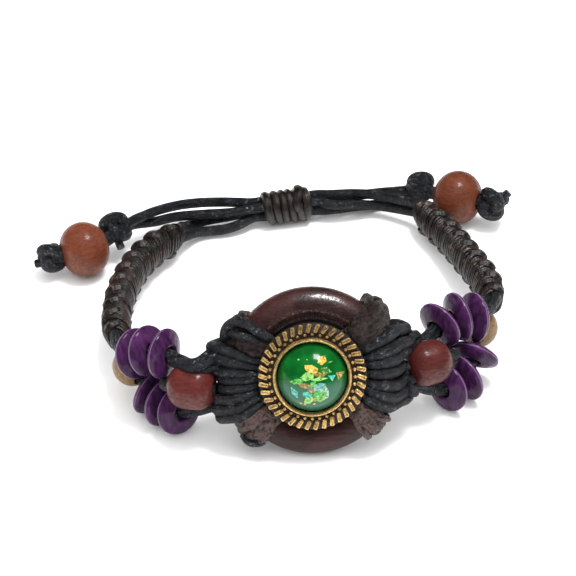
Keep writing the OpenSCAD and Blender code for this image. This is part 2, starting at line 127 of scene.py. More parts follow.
# Discs: name, x, y, z of the middle, yaw and tilt of the axis towards the ring
DISCS_LEFT_UPPER = [
    ("disc_left_upper_1", -24.9, 2.2, 14.9, -32, 8),
    ("disc_left_upper_2", -27.8, 4.3, 13.9, -38, 20),
    ("disc_left_upper_3", -29.9, 6.0, 12.0, -42, 24),
]
DISCS_LEFT_LOWER = [
    ("disc_left_lower_1", -22.6, 0.0, 4.5, -51, 14),
    ("disc_left_lower_2", -25.3, 2.3, 4.4, -42, 4),
    ("disc_left_lower_3", -27.55, 5.35, 4.35, -38, -9),
]
DISCS_RIGHT_UPPER = [
    ("disc_right_upper_1", 22.1, 12.6, 13.2, 228, -10),
    ("disc_right_upper_2", 25.3, 15.0, 13.1, 210, 0),
    ("disc_right_upper_3", 28.2, 16.9, 11.6, 208, 12),
]
DISCS_RIGHT_LOWER = [
    ("disc_right_lower_1", 23.4, 6.3, 4.4, 225, 5),
    ("disc_right_lower_2", 26.5, 9.1, 4.4, 221, -6),
    ("disc_right_lower_3", 28.5, 13.8, 5.7, 246, -31),
]

# Beads: name, x, y, z of the middle, yaw and tilt of the axis
BEADS = {
    "front_left": ("front_bead_left", -20.2, -2.3, 11.3, -16, 6),
    "front_right": ("front_bead_right", 19.8, 4.6, 11.1, 204, 0),
    "side_left": ("side_bead_left", -30.9, 10.3, 6.0, -59, -14),
    "side_right": ("side_bead_right", 29.5, 21.5, 5.9, 259, 6),
    "end_left": ("end_bead_left", -41.6, 46.6, 5.12, 22, 6),
    "end_right": ("end_bead_right", 28.2, 63.7, 5.12, 152, -6),
}

# Woods of the beads: colour and gloss
BEAD_WOODS = {"front": ("mauve", 0.55), "side": ("olive", 0.4), "end": ("orange", 0.5)}

# Distance between the points of a route, in millimetres
STEPS = {"drawcord": 0.6, "thread": 0.5, "bunch": 0.4, "tail": 0.4, "loose": 0.35, "band": 0.35}

# Threads: radius, then points and what they are strung through, from the ring to the band
THREADS = {
    "thread_left_upper": (0.9, [
        *DISCS_LEFT_UPPER, (-33.2, 9.6, 10.6), (-34.0, 13.7, 9.9), (-33.9, 15.6, 9.0),
    ]),
    "thread_left_middle": (1.0, [
        (-16.4, -3.6, 11.8), BEADS["front_left"], (-24.5, -0.9, 10.4), (-24.6, 1.9, 9.6), (-24.2, 4.6, 9.3),
        (-25.0, 8.4, 8.9), (-27.4, 12.6, 9.0), (-31.3, 15.0, 8.7), (-32.6, 15.8, 8.5),
    ]),
    "thread_left_lower": (0.9, [
        *DISCS_LEFT_LOWER, BEADS["side_left"], (-33.1, 13.6, 7.1), (-33.5, 15.6, 7.6),
    ]),
    "thread_right_upper": (0.9, [
        *DISCS_RIGHT_UPPER, (31.4, 20.6, 10.6), (32.8, 24.4, 10.0), (32.6, 26.4, 9.2),
    ]),
    "thread_right_middle": (1.0, [
        (16.4, 3.0, 11.1), BEADS["front_right"], (24.2, 7.4, 10.3), (23.7, 10.6, 8.6), (23.6, 14.0, 7.5),
        (24.6, 18.0, 7.6), (26.0, 21.4, 9.2), (28.6, 23.6, 10.3), (30.9, 24.2, 9.3), (31.8, 26.0, 8.8),
    ]),
    "thread_right_lower": (0.9, [
        *DISCS_RIGHT_LOWER, (28.9, 16.9, 6.5), BEADS["side_right"], (30.4, 25.7, 5.5), (31.6, 26.9, 6.8),
    ]),
}

# Cords of a bunch between a wrap and its first disc: count, radius with its swelling and
# unevenness, distance from the middle, flatness, twist in radians and its start
BUNCH_CORDS = 5
BUNCH_R = 0.68
BUNCH_SWELL = 0.16
BUNCH_UNEVEN = 0.05
BUNCH_APART = 0.66
BUNCH_FLAT = 0.75
BUNCH_TWIST = 2.6
BUNCH_START = 0.4

# Bunches: spread at the wrap, then points
BUNCHES = {
    "thread_left_upper": (1.9, [
        (-14.8, 0.8, 15.8), (-17.3, -1.2, 15.7), (-19.7, -2.3, 15.6), (-22.1, -0.3, 14.9),
        DISCS_LEFT_UPPER[0],
    ]),
    "thread_left_lower": (1.6, [
        (-14.6, -2.2, 8.6), (-17.2, -1.8, 7.4), (-19.6, -1.2, 5.8), DISCS_LEFT_LOWER[0],
    ]),
    "thread_right_upper": (1.5, [
        (14.6, 3.6, 15.2), (16.6, 5.8, 15.2), (18.2, 8.4, 12.4), (19.4, 10.2, 11.4), (20.7, 11.3, 12.1),
        DISCS_RIGHT_UPPER[0],
    ]),
    "thread_right_lower": (1.6, [
        (15.0, 0.9, 9.6), (17.4, 2.9, 8.2), (19.8, 4.4, 6.0), DISCS_RIGHT_LOWER[0],
    ]),
}

# Drawcords: x, y, z from the end of the band, through the sliding knot, to the far stopper
DRAWCORDS = {
    "drawcord_left_1": [
        (-23.9, 52.4, 3.5), (-23.3, 53.6, 3.0), (-21.2, 56.5, 2.0), (-18.5, 57.8, 1.5),
        (-15.8, 58.2, 1.6), (-13.1, 59.2, 2.0), (-10.6, 60.9, 2.4), (-8.8, 61.3, 2.4),
        (0.2, 63.3, 2.4), (2.0, 63.7, 2.2), (3.8, 64.4, 1.8), (8.5, 66.2, 1.3),
        (12.7, 67.2, 1.1), (15.6, 67.9, 1.2), (18.2, 68.8, 1.75),
    ],
    "drawcord_left_2": [
        (-24.2, 53.1, 5.4), (-24.0, 55.2, 4.3), (-23.5, 57.5, 2.7), (-22.0, 59.3, 2.0),
        (-19.5, 60.6, 1.9), (-14.0, 62.0, 2.2), (-11.0, 62.9, 2.4), (-9.2, 63.3, 2.4),
        (-0.2, 65.3, 2.4), (1.6, 65.7, 2.4), (4.0, 66.5, 2.4), (8.6, 68.1, 2.4),
        (12.7, 68.6, 2.8), (17.5, 67.9, 3.8),
    ],
    "drawcord_right_1": [
        (20.9, 60.8, 5.4), (20.0, 61.5, 5.2), (16.9, 63.3, 4.9), (12.7, 65.3, 4.6),
        (8.5, 66.0, 4.4), (3.6, 65.7, 4.4), (1.6, 65.7, 4.4), (-0.2, 65.3, 4.4),
        (-9.2, 63.3, 4.4), (-11.0, 62.9, 4.4), (-13.5, 63.2, 4.3), (-17.3, 63.6, 4.1),
        (-21.4, 63.6, 3.9), (-25.2, 62.4, 4.1), (-29.4, 58.7, 5.2), (-32.6, 55.0, 6.0),
    ],
    "drawcord_right_2": [
        (20.6, 60.7, 3.5), (16.9, 63.2, 2.8), (12.7, 64.8, 2.5), (8.5, 63.8, 3.4),
        (3.8, 63.0, 4.0), (2.0, 63.7, 4.2), (0.2, 63.3, 4.4), (-8.8, 61.3, 4.4),
        (-10.6, 60.9, 4.4), (-14.0, 59.9, 4.3), (-19.4, 59.4, 4.2), (-23.0, 59.1, 4.1),
        (-26.0, 59.0, 3.7), (-29.3, 58.6, 3.0), (-32.8, 56.5, 3.9),
    ],
}

# Knotted bands: x, y, z of the middle line, from the beads to the drawcords
BANDS = {
    "band_left": [
        (-33.6, 14.4, 8.5), (-34.2, 21.4, 7.6), (-33.9, 30.3, 6.6),
        (-31.9, 40.0, 5.6), (-29.0, 46.8, 4.8), (-24.4, 52.2, 4.4),
    ],
    "band_right": [
        (32.2, 25.1, 8.5), (31.4, 32.9, 7.6), (28.4, 42.9, 6.2), (25.3, 51.7, 5.0), (21.0, 60.2, 4.4),
    ],
}

# Directions in which the drawcords leave the bands, and how far they reach back into them
BAND_WAYS = {"left": (0.65, 0.76, -0.06), "right": (-0.45, 0.89, -0.06)}
BURIED = 1.8

# Width, thickness and lean of a band, length of one square knot and fine turns in it
BAND_W = 6.4
BAND_T = 5.0
BAND_LEAN = 22
KNOT_PITCH = 4.2
KNOT_TURNS = 5

# Share of its section that a band has at its ends, share of a knot over which it narrows, power
# of the curve that squares its section, and how far the edges of a fine turn are pulled along it
BAND_END = 0.74
BAND_NARROWS = 0.75
BAND_SQUARE = 2.6
LACE_SLANT = 1.1

# Points in a fine turn, in a knob and round the core, sections of the core, and how far it lies
# below the band's faces and edges
TURN_POINTS = 26
KNOB_POINTS = 13
CORE_POINTS = 12
CORE_SECTIONS = 60
CORE_BELOW = (0.85, 1.15)

# Knobs of a square knot: share of the knot where each lies, edge, length along the band, radius
# and its unevenness, and reach round the edge in degrees
KNOBS = [(0.5, 1, 0.9, 1.15, 0.14, 46), (0.05, -1, 0.5, 0.95, -0.1, 50)]

# Edges of the cord wraps: distance from the ring's axis, angle up from the side
WRAP_LEFT_TOP = [(7, 15), (11.2, 18), (14, 19), (15.6, 19), (17.4, 16), (18.6, 11)]
WRAP_LEFT_BOTTOM = [(7, -30), (11.2, -33), (14, -34), (15.6, -32), (17.4, -30), (18.6, -25)]
WRAP_RIGHT_TOP = [(7, 29), (11.2, 31), (15.4, 30), (17, 26), (18, 21), (19, 17)]
WRAP_RIGHT_BOTTOM = [(7, -26), (11.2, -29), (14.2, -29), (15.7, -24), (17.4, -22), (18.4, -15)]

# Cord wraps: strands, side, top edge, bottom edge, how far the tip is bent back, its
# reach, then distance, angle and radius of the hollow that the front bead sits in
WRAPS = {
    "cord_wrap_left": (8, -1, WRAP_LEFT_TOP, WRAP_LEFT_BOTTOM, 0.3, 18.2, 20.3, -7.5, 4.05),
    "cord_wrap_right": (7, 1, WRAP_RIGHT_TOP, WRAP_RIGHT_BOTTOM, -3.6, 18.0, 19.8, 0.6, 3.9),
}

# Cords of a wrap: radius that their course allows for, thinnest and thickest radius, share of their
# room that they fill, unevenness, distance at which they meet the bead, the distance past the
# plate's rim and the room under the plate that they keep to, and points in each
WRAP_CORD_R = 0.9
WRAP_CORD_MIN = 0.6
WRAP_CORD_MAX = 1.05
WRAP_FILL = 0.6
WRAP_UNEVEN = 0.12
WRAP_TIP = 17
WRAP_RIM = 0.7
WRAP_ROOM = 0.05
WRAP_POINTS = 48

# A small knot low on each wrap: x, y, z, yaw, size and turn about the cord
WRAP_KNOTS = {
    "cord_wrap_left": (-15.2, -3.5, 6.4, 40, 0.48, 0),
    "cord_wrap_right": (16.4, -1.2, 9.3, 130, 0.6, 40),
}

# Bindings: turns as angle round the ring outside and inside, cord radius and lift off the rod
BINDINGS = {
    "binding_top_left": [
        (159, 158, 0.78, 0.0), (153.5, 152, 0.86, 0.1), (147, 146, 0.84, 0.2), (141, 139, 0.7, 0.0),
    ],
    "binding_top_right": [
        (35.5, 29, 0.84, 0.0), (40.5, 35, 1.0, 0.35), (46.5, 40, 1.05, 0.45), (52.5, 46, 0.86, 0.1),
    ],
    "binding_bottom_left": [
        (215, 218, 0.8, 0.0), (220.5, 222, 0.9, 0.2), (227, 226, 0.88, 0.15), (234, 231, 0.8, 0.0),
    ],
    "binding_bottom_right": [
        (310.5, 314, 0.62, -0.25), (316, 318, 0.72, -0.15), (321, 322, 0.72, -0.2), (326, 327, 0.66, -0.3),
    ],
}

# A turn of a binding: points, wander in degrees and unevenness of its radius, and the distance past
# the plate's rim and the room under the plate that it keeps to. Then the grid of the mesh, and the
# scale and depth of its wrinkles.
BINDING_POINTS = 44
BINDING_WANDER = 2.6
BINDING_UNEVEN = 0.2
BINDING_RIM = 0.8
BINDING_ROOM = 0.02
BINDING_GRID = 0.14
WRINKLES = [(1.1, 0.34), (0.42, 0.2)]

# Loose ends at the bindings: cord, then points as distance, angle round the ring and height
LOOSE_ENDS = {
    "binding_top_left": [
        ("black", 0.82, [
            (14.6, 162, 1.2), (15.9, 158, 2.2), (16.3, 151.5, 3.0), (15.6, 145, 3.9), (13.8, 141, 4.9),
            (11.6, 140, 5.2), (9.9, 139.5, 4.1), (9.3, 139, 2.6),
        ]),
        ("black", 0.6, [
            (15.9, 154.5, 2.4), (14.6, 151.5, 4.2), (12.6, 148.5, 5.3), (10.6, 147, 4.6), (9.7, 147, 3.2),
        ]),
    ],
    "binding_bottom_left": [
        ("black", 0.72, [(14.2, 236, 2.2), (15.2, 232, 2.6), (15.9, 228, 2.2), (16.0, 223, 1.2)]),
    ],
    "binding_bottom_right": [
        ("brown", 0.5, [(12.6, 324, 3.6), (14.0, 326.5, 3.3), (14.8, 328.0, 2.9), (15.2, 328.6, 2.6)]),
        ("brown", 0.55, [(12.4, 318, 3.7), (13.9, 319, 3.4), (14.6, 320, 2.7), (14.9, 320.5, 2.2)]),
        ("brown", 0.5, [(12.2, 312, 3.6), (13.6, 311, 3.3), (14.2, 310.4, 2.8), (14.6, 310, 2.4)]),
        ("black", 0.45, [(13.8, 314, 2.8), (14.4, 314.5, 2.2), (14.9, 316, 1.6)]),
    ],
}

# Sliding knot: middle, yaw of its axis, length and outer diameter, each turn's cord radius, points in
# a turn, share of a turn after which it passes to the next, and how much the turns press together
SLIDE_MIDDLE = (-4.5, 63.3, 3.4)
SLIDE_YAW = 12.5
SLIDE_L = 9.2
SLIDE_D = 6.6
SLIDE_TURNS = [0.84, 0.8, 0.66, 0.7, 0.8, 0.84]
SLIDE_POINTS = 26
SLIDE_PASSES = 0.55
SLIDE_PRESS = 1.04

# Finishing turn over the sliding knot: points, angle at its start and swept, depth under the outer
# diameter and rise over it, distance of its start from the end and length along the knot
LAP_POINTS = 15
LAP_START = 262
LAP_SWEEP = -190
LAP_DEPTH = 0.8
LAP_RISE = 0.35
LAP_BACK = 3.1
LAP_ALONG = 2.0

# Knots in the drawcords: x, y, z, yaw of the cord, size and turn about the cord
KNOTS = {
    "stopper_knot_left": (-36.3, 52.5, 5.7, 50, 1.18, 20),
    "stopper_knot_right": (21.1, 68.3, 4.1, 170, 1.2, 75),
    "end_knot_left": (-47.7, 45.3, 4.4, 22, 1.1, 50),
    "end_knot_right": (34.7, 61.3, 5.4, 152, 1.2, 10),
}

# An overhand knot of size 1: radius of its cord, size and reach of its lobes, rise of the cord
# where it crosses itself, and points
OVERHAND_R = 1.12
OVERHAND_LOBE = 0.62
OVERHAND_REACH = 1.75
OVERHAND_RISE = 1.15
OVERHAND_POINTS = 72

# Ends of cord that leave each knot: radius, then points
TAILS = {
    "stopper_knot_left": [
        (0.97, (-36.0, 52.6, 5.4), (-34.4, 53.6, 5.7), (-32.5, 55.1, 6.0), (-31.4, 56.4, 5.7)),
        (0.97, (-36.0, 52.2, 5.0), (-34.5, 54.8, 4.4), (-32.9, 56.4, 3.9), (-31.4, 57.6, 3.4)),
        (0.8, (-36.2, 51.6, 5.0), (-35.0, 49.4, 3.4)),
    ],
    "stopper_knot_right": [
        (0.97, (21.4, 68.2, 3.4), (19.9, 68.9, 2.4), (18.1, 68.8, 1.7), (16.6, 68.2, 1.4)),
        (0.97, (21.4, 68.2, 4.2), (19.4, 67.9, 4.1), (17.4, 67.9, 3.75), (15.9, 68.3, 3.3)),
    ],
    "end_knot_left": [
        (1.3, (-47.6, 44.6, 4.4), (-41.6, 46.6, 5.1), (-37.6, 49.2, 5.5), (-36.3, 51.4, 5.5)),
        (0.8, (-48.4, 44.6, 4.0), (-49.6, 44.4, 3.6), (-50.5, 44.5, 3.3)),
    ],
    "end_knot_right": [
        (1.3, (34.5, 61.2, 5.5), (28.2, 63.7, 5.1), (23.4, 66.1, 4.6), (21.6, 67.6, 4.2)),
        (0.8, (36.0, 61.8, 5.6), (37.0, 62.3, 6.4), (37.7, 62.5, 7.1)),
    ],
}

# Colours of the stone's flakes
GOLD = (0.62, 0.33, 0.06)
AMBER = (0.26, 0.11, 0.03)
LIME = (0.20, 0.46, 0.12)
LEAF = (0.06, 0.36, 0.07)
SKY = (0.10, 0.30, 0.30)
ROSE = (0.24, 0.14, 0.06)
TEAL = (0.02, 0.36, 0.34)
PALE = (0.30, 0.46, 0.36)
MOSS = (0.02, 0.14, 0.03)

# Flakes: x and y of the middle, length, width, turn, sides and colour
FLAKES = [
    (1.55, 3.35, 1.5, 1.3, 40, 5, GOLD),
    (1.05, 3.75, 0.6, 0.5, 10, 5, PALE),
    (2.2, 1.75, 1.8, 1.3, -20, 4, MOSS),
    (-0.25, 2.05, 2.3, 1.2, -12, 6, GOLD),
    (0.4, 1.75, 0.9, 0.7, 30, 5, PALE),
    (1.0, 1.2, 1.9, 0.8, -18, 5, AMBER),
    (-0.85, 0.85, 2.1, 1.4, 24, 5, LIME),
    (1.05, 0.42, 2.7, 0.6, 4, 4, LIME),
    (-2.45, -0.1, 2.4, 0.9, 12, 5, LEAF),
    (-1.25, -0.7, 2.3, 0.9, -8, 5, ROSE),
    (0.1, -0.4, 1.3, 0.9, 50, 4, LEAF),
    (1.25, -0.95, 2.3, 1.5, 12, 6, SKY),
    (0.0, -1.4, 1.3, 1.1, 20, 5, ROSE),
    (2.3, -2.0, 0.8, 2.2, 6, 5, PALE),
    (-0.85, -2.2, 1.8, 1.0, -14, 5, TEAL),
    (1.05, -2.5, 2.3, 1.8, 34, 6, LEAF),
    (1.5, -3.2, 1.5, 0.8, 28, 5, LIME),
    (-0.6, -3.25, 1.8, 1.4, 50, 5, LIME),
    (-1.9, -3.95, 0.6, 0.35, -25, 4, GOLD),
    (-1.2, -4.1, 0.5, 0.4, 30, 4, GOLD),
    (0.3, -4.05, 0.6, 0.3, 15, 4, GOLD),
    (-2.4, -3.6, 0.4, 0.3, 0, 4, AMBER),
    (-2.95, -2.15, 2.0, 0.9, -60, 4, TEAL),
    (3.2, 0.6, 1.2, 1.5, 62, 3, TEAL),
    (4.5, 0.8, 1.5, 1.6, -68, 3, AMBER),
    (2.85, 3.0, 0.9, 0.25, 12, 4, LEAF),
    (-2.3, 3.4, 0.35, 0.3, 0, 5, LIME),
    (-0.9, 3.5, 0.25, 0.2, 0, 4, LIME),
]

# Flakes: scale and unevenness of their outlines, thickness, depth of the underside in the dome,
# height of the lowest over it, the step up to the next, and how many heights there are
FLAKE_SCALE = 1.1
FLAKE_UNEVEN = 0.25
FLAKE_T = 0.1
FLAKE_DEPTH = 0.06
FLAKE_LIFT = 0.012
FLAKE_STEP = 0.003
FLAKE_HEIGHTS = 4

# Camera's place in the layout, the floor's width and the place that the lamps aim at in metres
CAMERA_SPOT = (-4.03, -339.8, 277)
FLOOR_W = 3
LAMP_AIM = Vector((0, 0, 0.01))

# Lamps: name, place and size in metres, share of the key light's power, and if gloss mirrors them
LAMPS = [("key", (0.14, 0.0, 0.69), 0.2, 1, True), ("overhead", (0, -0.15, 0.7), 0.9, 0.75, False)]

# Colours that the finishes mix in
# Painted highlight on the raised strands of the black cord's plait
PLAIT_HIGHLIGHT_GREY = (0.045, 0.050, 0.060, 1)
# Painted glints where the black cord's wax catches the light
WAX_GLINT_GREY = (0.24, 0.25, 0.26, 1)
WORN_RED = (0.034, 0.015, 0.013, 1)
TAN_FIBRE = (0.13, 0.075, 0.035, 1)
CREASED_BROWN = (0.040, 0.024, 0.020, 1)
DUSTY_ROSE = (0.125, 0.075, 0.064, 1)
# Painted highlight along the discs' rims
RIM_HIGHLIGHT_LILAC = (0.26, 0.16, 0.30, 1)
# Painted reflection of the floor in the stone's lower part
FLOOR_REFLECTION_GREEN = (0.030, 0.112, 0.066, 1)
FLAKE_BAND = (0.30, 0.42, 0.10, 1)
FLAKE_FIRE = (0.50, 0.22, 0.05, 1)
FLAKE_FLAW = (0.012, 0.11, 0.02, 1)
FLAKE_GLINT = (0.55, 0.62, 0.35, 1)
PAPER_WHITE = (0.92, 0.92, 0.92, 1)

# The clear gloss of the stone and of its flakes
CLEAR_GLOSS = {"Roughness": 0.2, "Specular_IOR_Level": 0.12, "Coat_Weight": 0.24, "Coat_Roughness": 0.02}


# Sizes and colours that a user would change


def colour_property(name, description, value):
    """A colour setting with its default."""
    return FloatVectorProperty(
        name=name, description=description, subtype="COLOR", size=4, min=0, max=1, default=(*value, 1)
    )


class BraceletSizes(PropertyGroup):
    """Sizes of the pieces that the scene makes."""

    cord_radius: FloatProperty(
        name="Drawcord radius", description="Radius of the black drawcords", unit="LENGTH", default=0.00095
    )
    lace_radius: FloatProperty(
        name="Lace radius", description="Radius of the fine brown cord of the bands", unit="LENGTH",
        default=0.00031,
    )
    bar_count: IntProperty(name="Bars", description="Slanted bars round the setting", min=8, default=38)
    grain_count: IntProperty(
        name="Grains", description="Grains between the bars and the bezel", min=8, default=36
    )


class BraceletColours(PropertyGroup):
    """Main colour of each finish."""

    ring_wood: colour_property("Ring", "Polished wood of the ring", (0.024, 0.0066, 0.0058))
    gold: colour_property("Gold", "High places of the setting", (0.88, 0.58, 0.22))
    # Patina of the setting's hollows, also used as painted shade towards its top
    patina_and_shade: colour_property("Patina", "Hollows of the setting", (0.022, 0.012, 0.006))
    stone: colour_property("Stone", "Green of the stone", (0.002, 0.082, 0.012))
    black_cord: colour_property("Black cord", "Wraps, threads and drawcords", (0.0055, 0.0070, 0.0100))
    brown_cord: colour_property("Brown cord", "Bands, bindings and sliding knot", (0.0125, 0.0090, 0.0078))
    disc: colour_property("Discs", "Dyed discs", (0.043, 0.0130, 0.051))
    mauve: colour_property("Front beads", "Wood of the front beads", (0.080, 0.0135, 0.0110))
    olive: colour_property("Side beads", "Wood of the side beads", (0.21, 0.125, 0.052))
    orange: colour_property("End beads", "Wood of the end beads", (0.132, 0.033, 0.0140))


class BraceletStudio(PropertyGroup):
    """Camera and lights."""

    elevation: FloatProperty(
        name="Elevation", description="Height of the camera over the horizon", subtype="ANGLE",
        default=math.radians(36),
    )
    lens: FloatProperty(name="Lens", description="Focal length in millimetres", default=160)
    key_power: FloatProperty(
        name="Key light", description="Power of the key light", unit="POWER", default=4.2
    )
    sky: FloatProperty(name="Sky", description="Strength of the light from all round", default=1.15)


# Shader expressions


class Socket:
    """The output of a shader node, as a value in Python expressions."""

    def __init__(self, finish, output):
        self.finish = finish
        self.output = output

    def math(self, operation, *others):
        return self.finish.node("Math", {"operation": operation}, [self, *others])

    def __add__(self, other):
        return self.math("ADD", other)

    def __sub__(self, other):
        return self.math("SUBTRACT", other)

    def __rsub__(self, other):
        return self.finish.node("Math", {"operation": "SUBTRACT"}, [other, self])

    def __mul__(self, other):
        return self.math("MULTIPLY", other)

    __radd__ = __add__
    __rmul__ = __mul__

    def sin(self):
        return self.math("SINE")

    def step(self, start, end):
        """0 at start and before it, 1 at end and past it, smooth between. Start may be the larger."""
        values = [self, start, end, 0.0, 1.0]
        return self.finish.node("MapRange", {"interpolation_type": "SMOOTHSTEP"}, values)


class Finish:
    """One material, with its Principled shader and the coordinates that its pattern reads."""

    def __init__(self, name):
        self.material = bpy.data.materials.new(name)
        self.material.use_nodes = True
        self.tree = self.material.node_tree
        self.shader = self.tree.nodes["Principled BSDF"]

    def node(self, kind, settings=None, values=(), out=0):
        """Adds a node, sets it and links it, and returns one of its outputs."""
        node = self.tree.nodes.new("ShaderNode" + kind)
        for name, value in (settings or {}).items():
            setattr(node, name, value)
        pairs = values.items() if isinstance(values, dict) else enumerate(values)
        for key, value in pairs:
            self.plug(node.inputs[key], value)
        return Socket(self, node.outputs[out])

    def plug(self, socket, value):
        if isinstance(value, Socket):
            self.tree.links.new(value.output, socket)
        else:
            socket.default_value = value

    def here(self, matrix=None):
        """The point in millimetres, or in the millimetres of a piece's own axes."""
        point = self.node("TexCoord", out="Object")
        if matrix is None:
            return self.node("VectorMath", {"operation": "SCALE"}, {"Vector": point, "Scale": 1 / MM})
        values = {
            "Vector": point, "Location": matrix.translation, "Rotation": matrix.to_euler(),
            "Scale": (MM, MM, MM),
        }
        return self.node("Mapping", {"vector_type": "TEXTURE"}, values)

    def parts(self, vector):
        return [self.node("SeparateXYZ", values=[vector], out=i) for i in range(3)]

    def joined(self, x, y, z):
        return self.node("CombineXYZ", values=[x, y, z])

    def noise(self, vector, scale, detail=3.0, roughness=0.55):
        """Noise by its grains per millimetre, one number or one for each axis."""
        if isinstance(scale, tuple):
            vector = self.node("VectorMath", {"operation": "MULTIPLY"}, [vector, scale])
            scale = 1.0
        return self.node(
            "TexNoise", values={"Vector": vector, "Scale": scale, "Detail": detail, "Roughness": roughness}
        )

    def layered(self, base, *layers):
        """A base colour under layers, each a mask and a colour, the last on top."""
        for mask, colour in layers:
            base = self.node("Mix", {"data_type": "RGBA"}, {0: mask, 6: base, 7: colour}, out=2)
        return base

    def bump(self, height, depth, under=None):
        """A bump of depth millimetres where height goes from 0 to 1."""
        values = {"Height": height, "Distance": depth * MM, "Strength": 1.0}
        if under is not None:
            values["Normal"] = under
        return self.node("Bump", values=values)

    def surface(self, **values):
        for name, value in values.items():
            self.plug(self.shader.inputs[name.replace("_", " ")], value)
        return self.material


def tone(name, factor=1):
    """One of the bracelet's colours, made lighter or darker."""
    colour = getattr(bpy.context.scene.bracelet_colours, name)
    return (*[min(1, channel * factor) for channel in colour[:3]], 1)


def black_cord():
    """Waxed black cord: fine fibres and plait, with a painted highlight on the plait's raised strands, light
    specks painted as glints where the wax catches the light, and painted shade in its dents.
    """
    finish = Finish("black_waxed_cord")
    here = finish.here()
    around, along, _ = finish.parts(finish.node("UVMap"))
    plait = (around * 50.3 + along * 8.4).sin() * (around * 50.3 - along * 8.4).sin()
    fibre = finish.noise(finish.joined(around * 9.0, along * 1.1, 0.0), 1.0, 3, 0.7)
    patch = finish.noise(here, 0.55, 3)
    fuzz = finish.noise(here, 2.4, 4, 0.75)
    wax_glint = finish.noise(here, 2.3, 3, 0.8).step(0.57, 0.64)
    highlight_patches = finish.noise(here, 0.7, 2).step(0.45, 0.65)
    base = finish.layered(
        tone("black_cord", 0.5),
        (patch.step(0.3, 0.75), tone("black_cord", 1.6)),
        (fibre.step(0.45, 0.75) * 0.5, tone("black_cord", 4.5)),
        # Painted shade in the dents of the fuzz bump
        (fuzz.step(0.5, 0.36), tone("black_cord", 0.3)),
        # Painted highlight on the plait's raised strands, stronger in patches
        (plait.step(0.2, 0.8) * (0.15 + highlight_patches * 0.5), PLAIT_HIGHLIGHT_GREY),
        # Painted glints where the wax catches the light
        (wax_glint * (0.35 + highlight_patches * 0.65), WAX_GLINT_GREY),
    )
    rough = 0.6 - patch * 0.2 - wax_glint * 0.35
    normal = finish.bump(fuzz, 0.55, finish.bump(plait * 0.5 + 0.5, 0.12, finish.bump(fibre, 0.2)))
    return finish.surface(Base_Color=base, Roughness=rough, Normal=normal, Specular_IOR_Level=0.38)


def brown_cord(name, creased=False):
    """Waxed brown cord with lighter and redder wear: fine plied turns, or soft and creased with painted shade
    in the creases.
    """
    finish = Finish(name)
    here = finish.here()
    patch = finish.noise(here, 0.75, 3)
    fine = finish.noise(here, 3.0, 4, 0.65)
    red = finish.noise(here, 0.3, 2).step(0.5, 0.7)
    base = finish.layered(
        tone("brown_cord", 0.3),
        (patch.step(0.38, 0.62), tone("brown_cord", 1.35)),
        (red * 0.6, WORN_RED),
        (fine.step(0.5, 0.72) * 0.32, tone("brown_cord", 4.0)),
    )
    if creased:
        crease = finish.noise(here, 1.5, 5, 0.7)
        _, height, _ = finish.parts(finish.here(RING_AXES))
        base = finish.layered(
            base,
            (0.55, CREASED_BROWN),
            (height.step(3.0, -6.0) * 0.75, DUSTY_ROSE),
            # Painted shade in the creases, where the crease bump is low
            (crease.step(0.53, 0.38), tone("brown_cord", 0.5)),
        )
        normal = finish.bump(crease, 0.5, finish.bump(fine, 0.15))
    else:
        tan = finish.noise(here, 0.8, 2).step(0.64, 0.7)
        base = finish.layered(base, (tan * 0.7, TAN_FIBRE))
        around, along, _ = finish.parts(finish.node("UVMap"))
        ply = (around * 31.4 + along * 1.2).sin() * 0.5 + 0.5
        normal = finish.bump(fine, 0.1, finish.bump(ply, 0.03))
    rough = 0.44 - fine * 0.25
    return finish.surface(Base_Color=base, Roughness=rough, Normal=normal, Specular_IOR_Level=0.42)


def ring_wood():
    """Polished dark wood: streaks that follow the ring, open pores, a painted highlight on its upper left
    outer edge, painted shade on its inner wall, and polish on its upper front.
    """
    finish = Finish("ring_wood")
    here = finish.here(RING_AXES)
    x, y, z = finish.parts(here)
    grain = finish.noise(here, (0.3, 2.0, 2.0), 4, 0.6)
    cloud = finish.noise(here, 0.25, 2)
    pores = finish.noise(here, (2.4, 4.5, 4.5), 3, 0.7)
    dimple = finish.noise(here, (1.6, 2.2, 2.2), 4, 0.75)
    speckle = finish.noise(here, (2.3, 2.6, 2.6), 2, 0.8)
    inside = (x * x + y * y).step(92.0, 78.0)
    base = finish.layered(
        tone("ring_wood", 0.55),
        (grain.step(0.3, 0.75), tone("ring_wood", 1.5)),
        (cloud.step(0.45, 0.75) * 0.6, tone("ring_wood", 2.0)),
        # Painted highlight on the ring's upper left outer edge
        ((y - x + cloud * 6.0).step(16.0, 23.0) * 0.3, tone("ring_wood", 3.2)),
        # Painted shade on the inner wall, behind the setting
        (inside * 0.85, tone("ring_wood", 0.15)),
    )
    rough = 0.3 + pores * 0.25 + inside * 0.5
    sheen = (0.2 + speckle.step(0.49, 0.55) * 0.8) * dimple.step(0.3, 0.5) * y.step(-5.0, 4.0)
    sheen = sheen * (1.0 - inside) * z.step(-2.0, 0.0)
    normal = finish.bump(dimple, 0.1, finish.bump(grain, 0.08))
    return finish.surface(
        Base_Color=base, Roughness=rough, Normal=normal, Specular_IOR_Level=0.28,
        Coat_Weight=sheen, Coat_Roughness=0.27, Coat_IOR=2.1,
    )


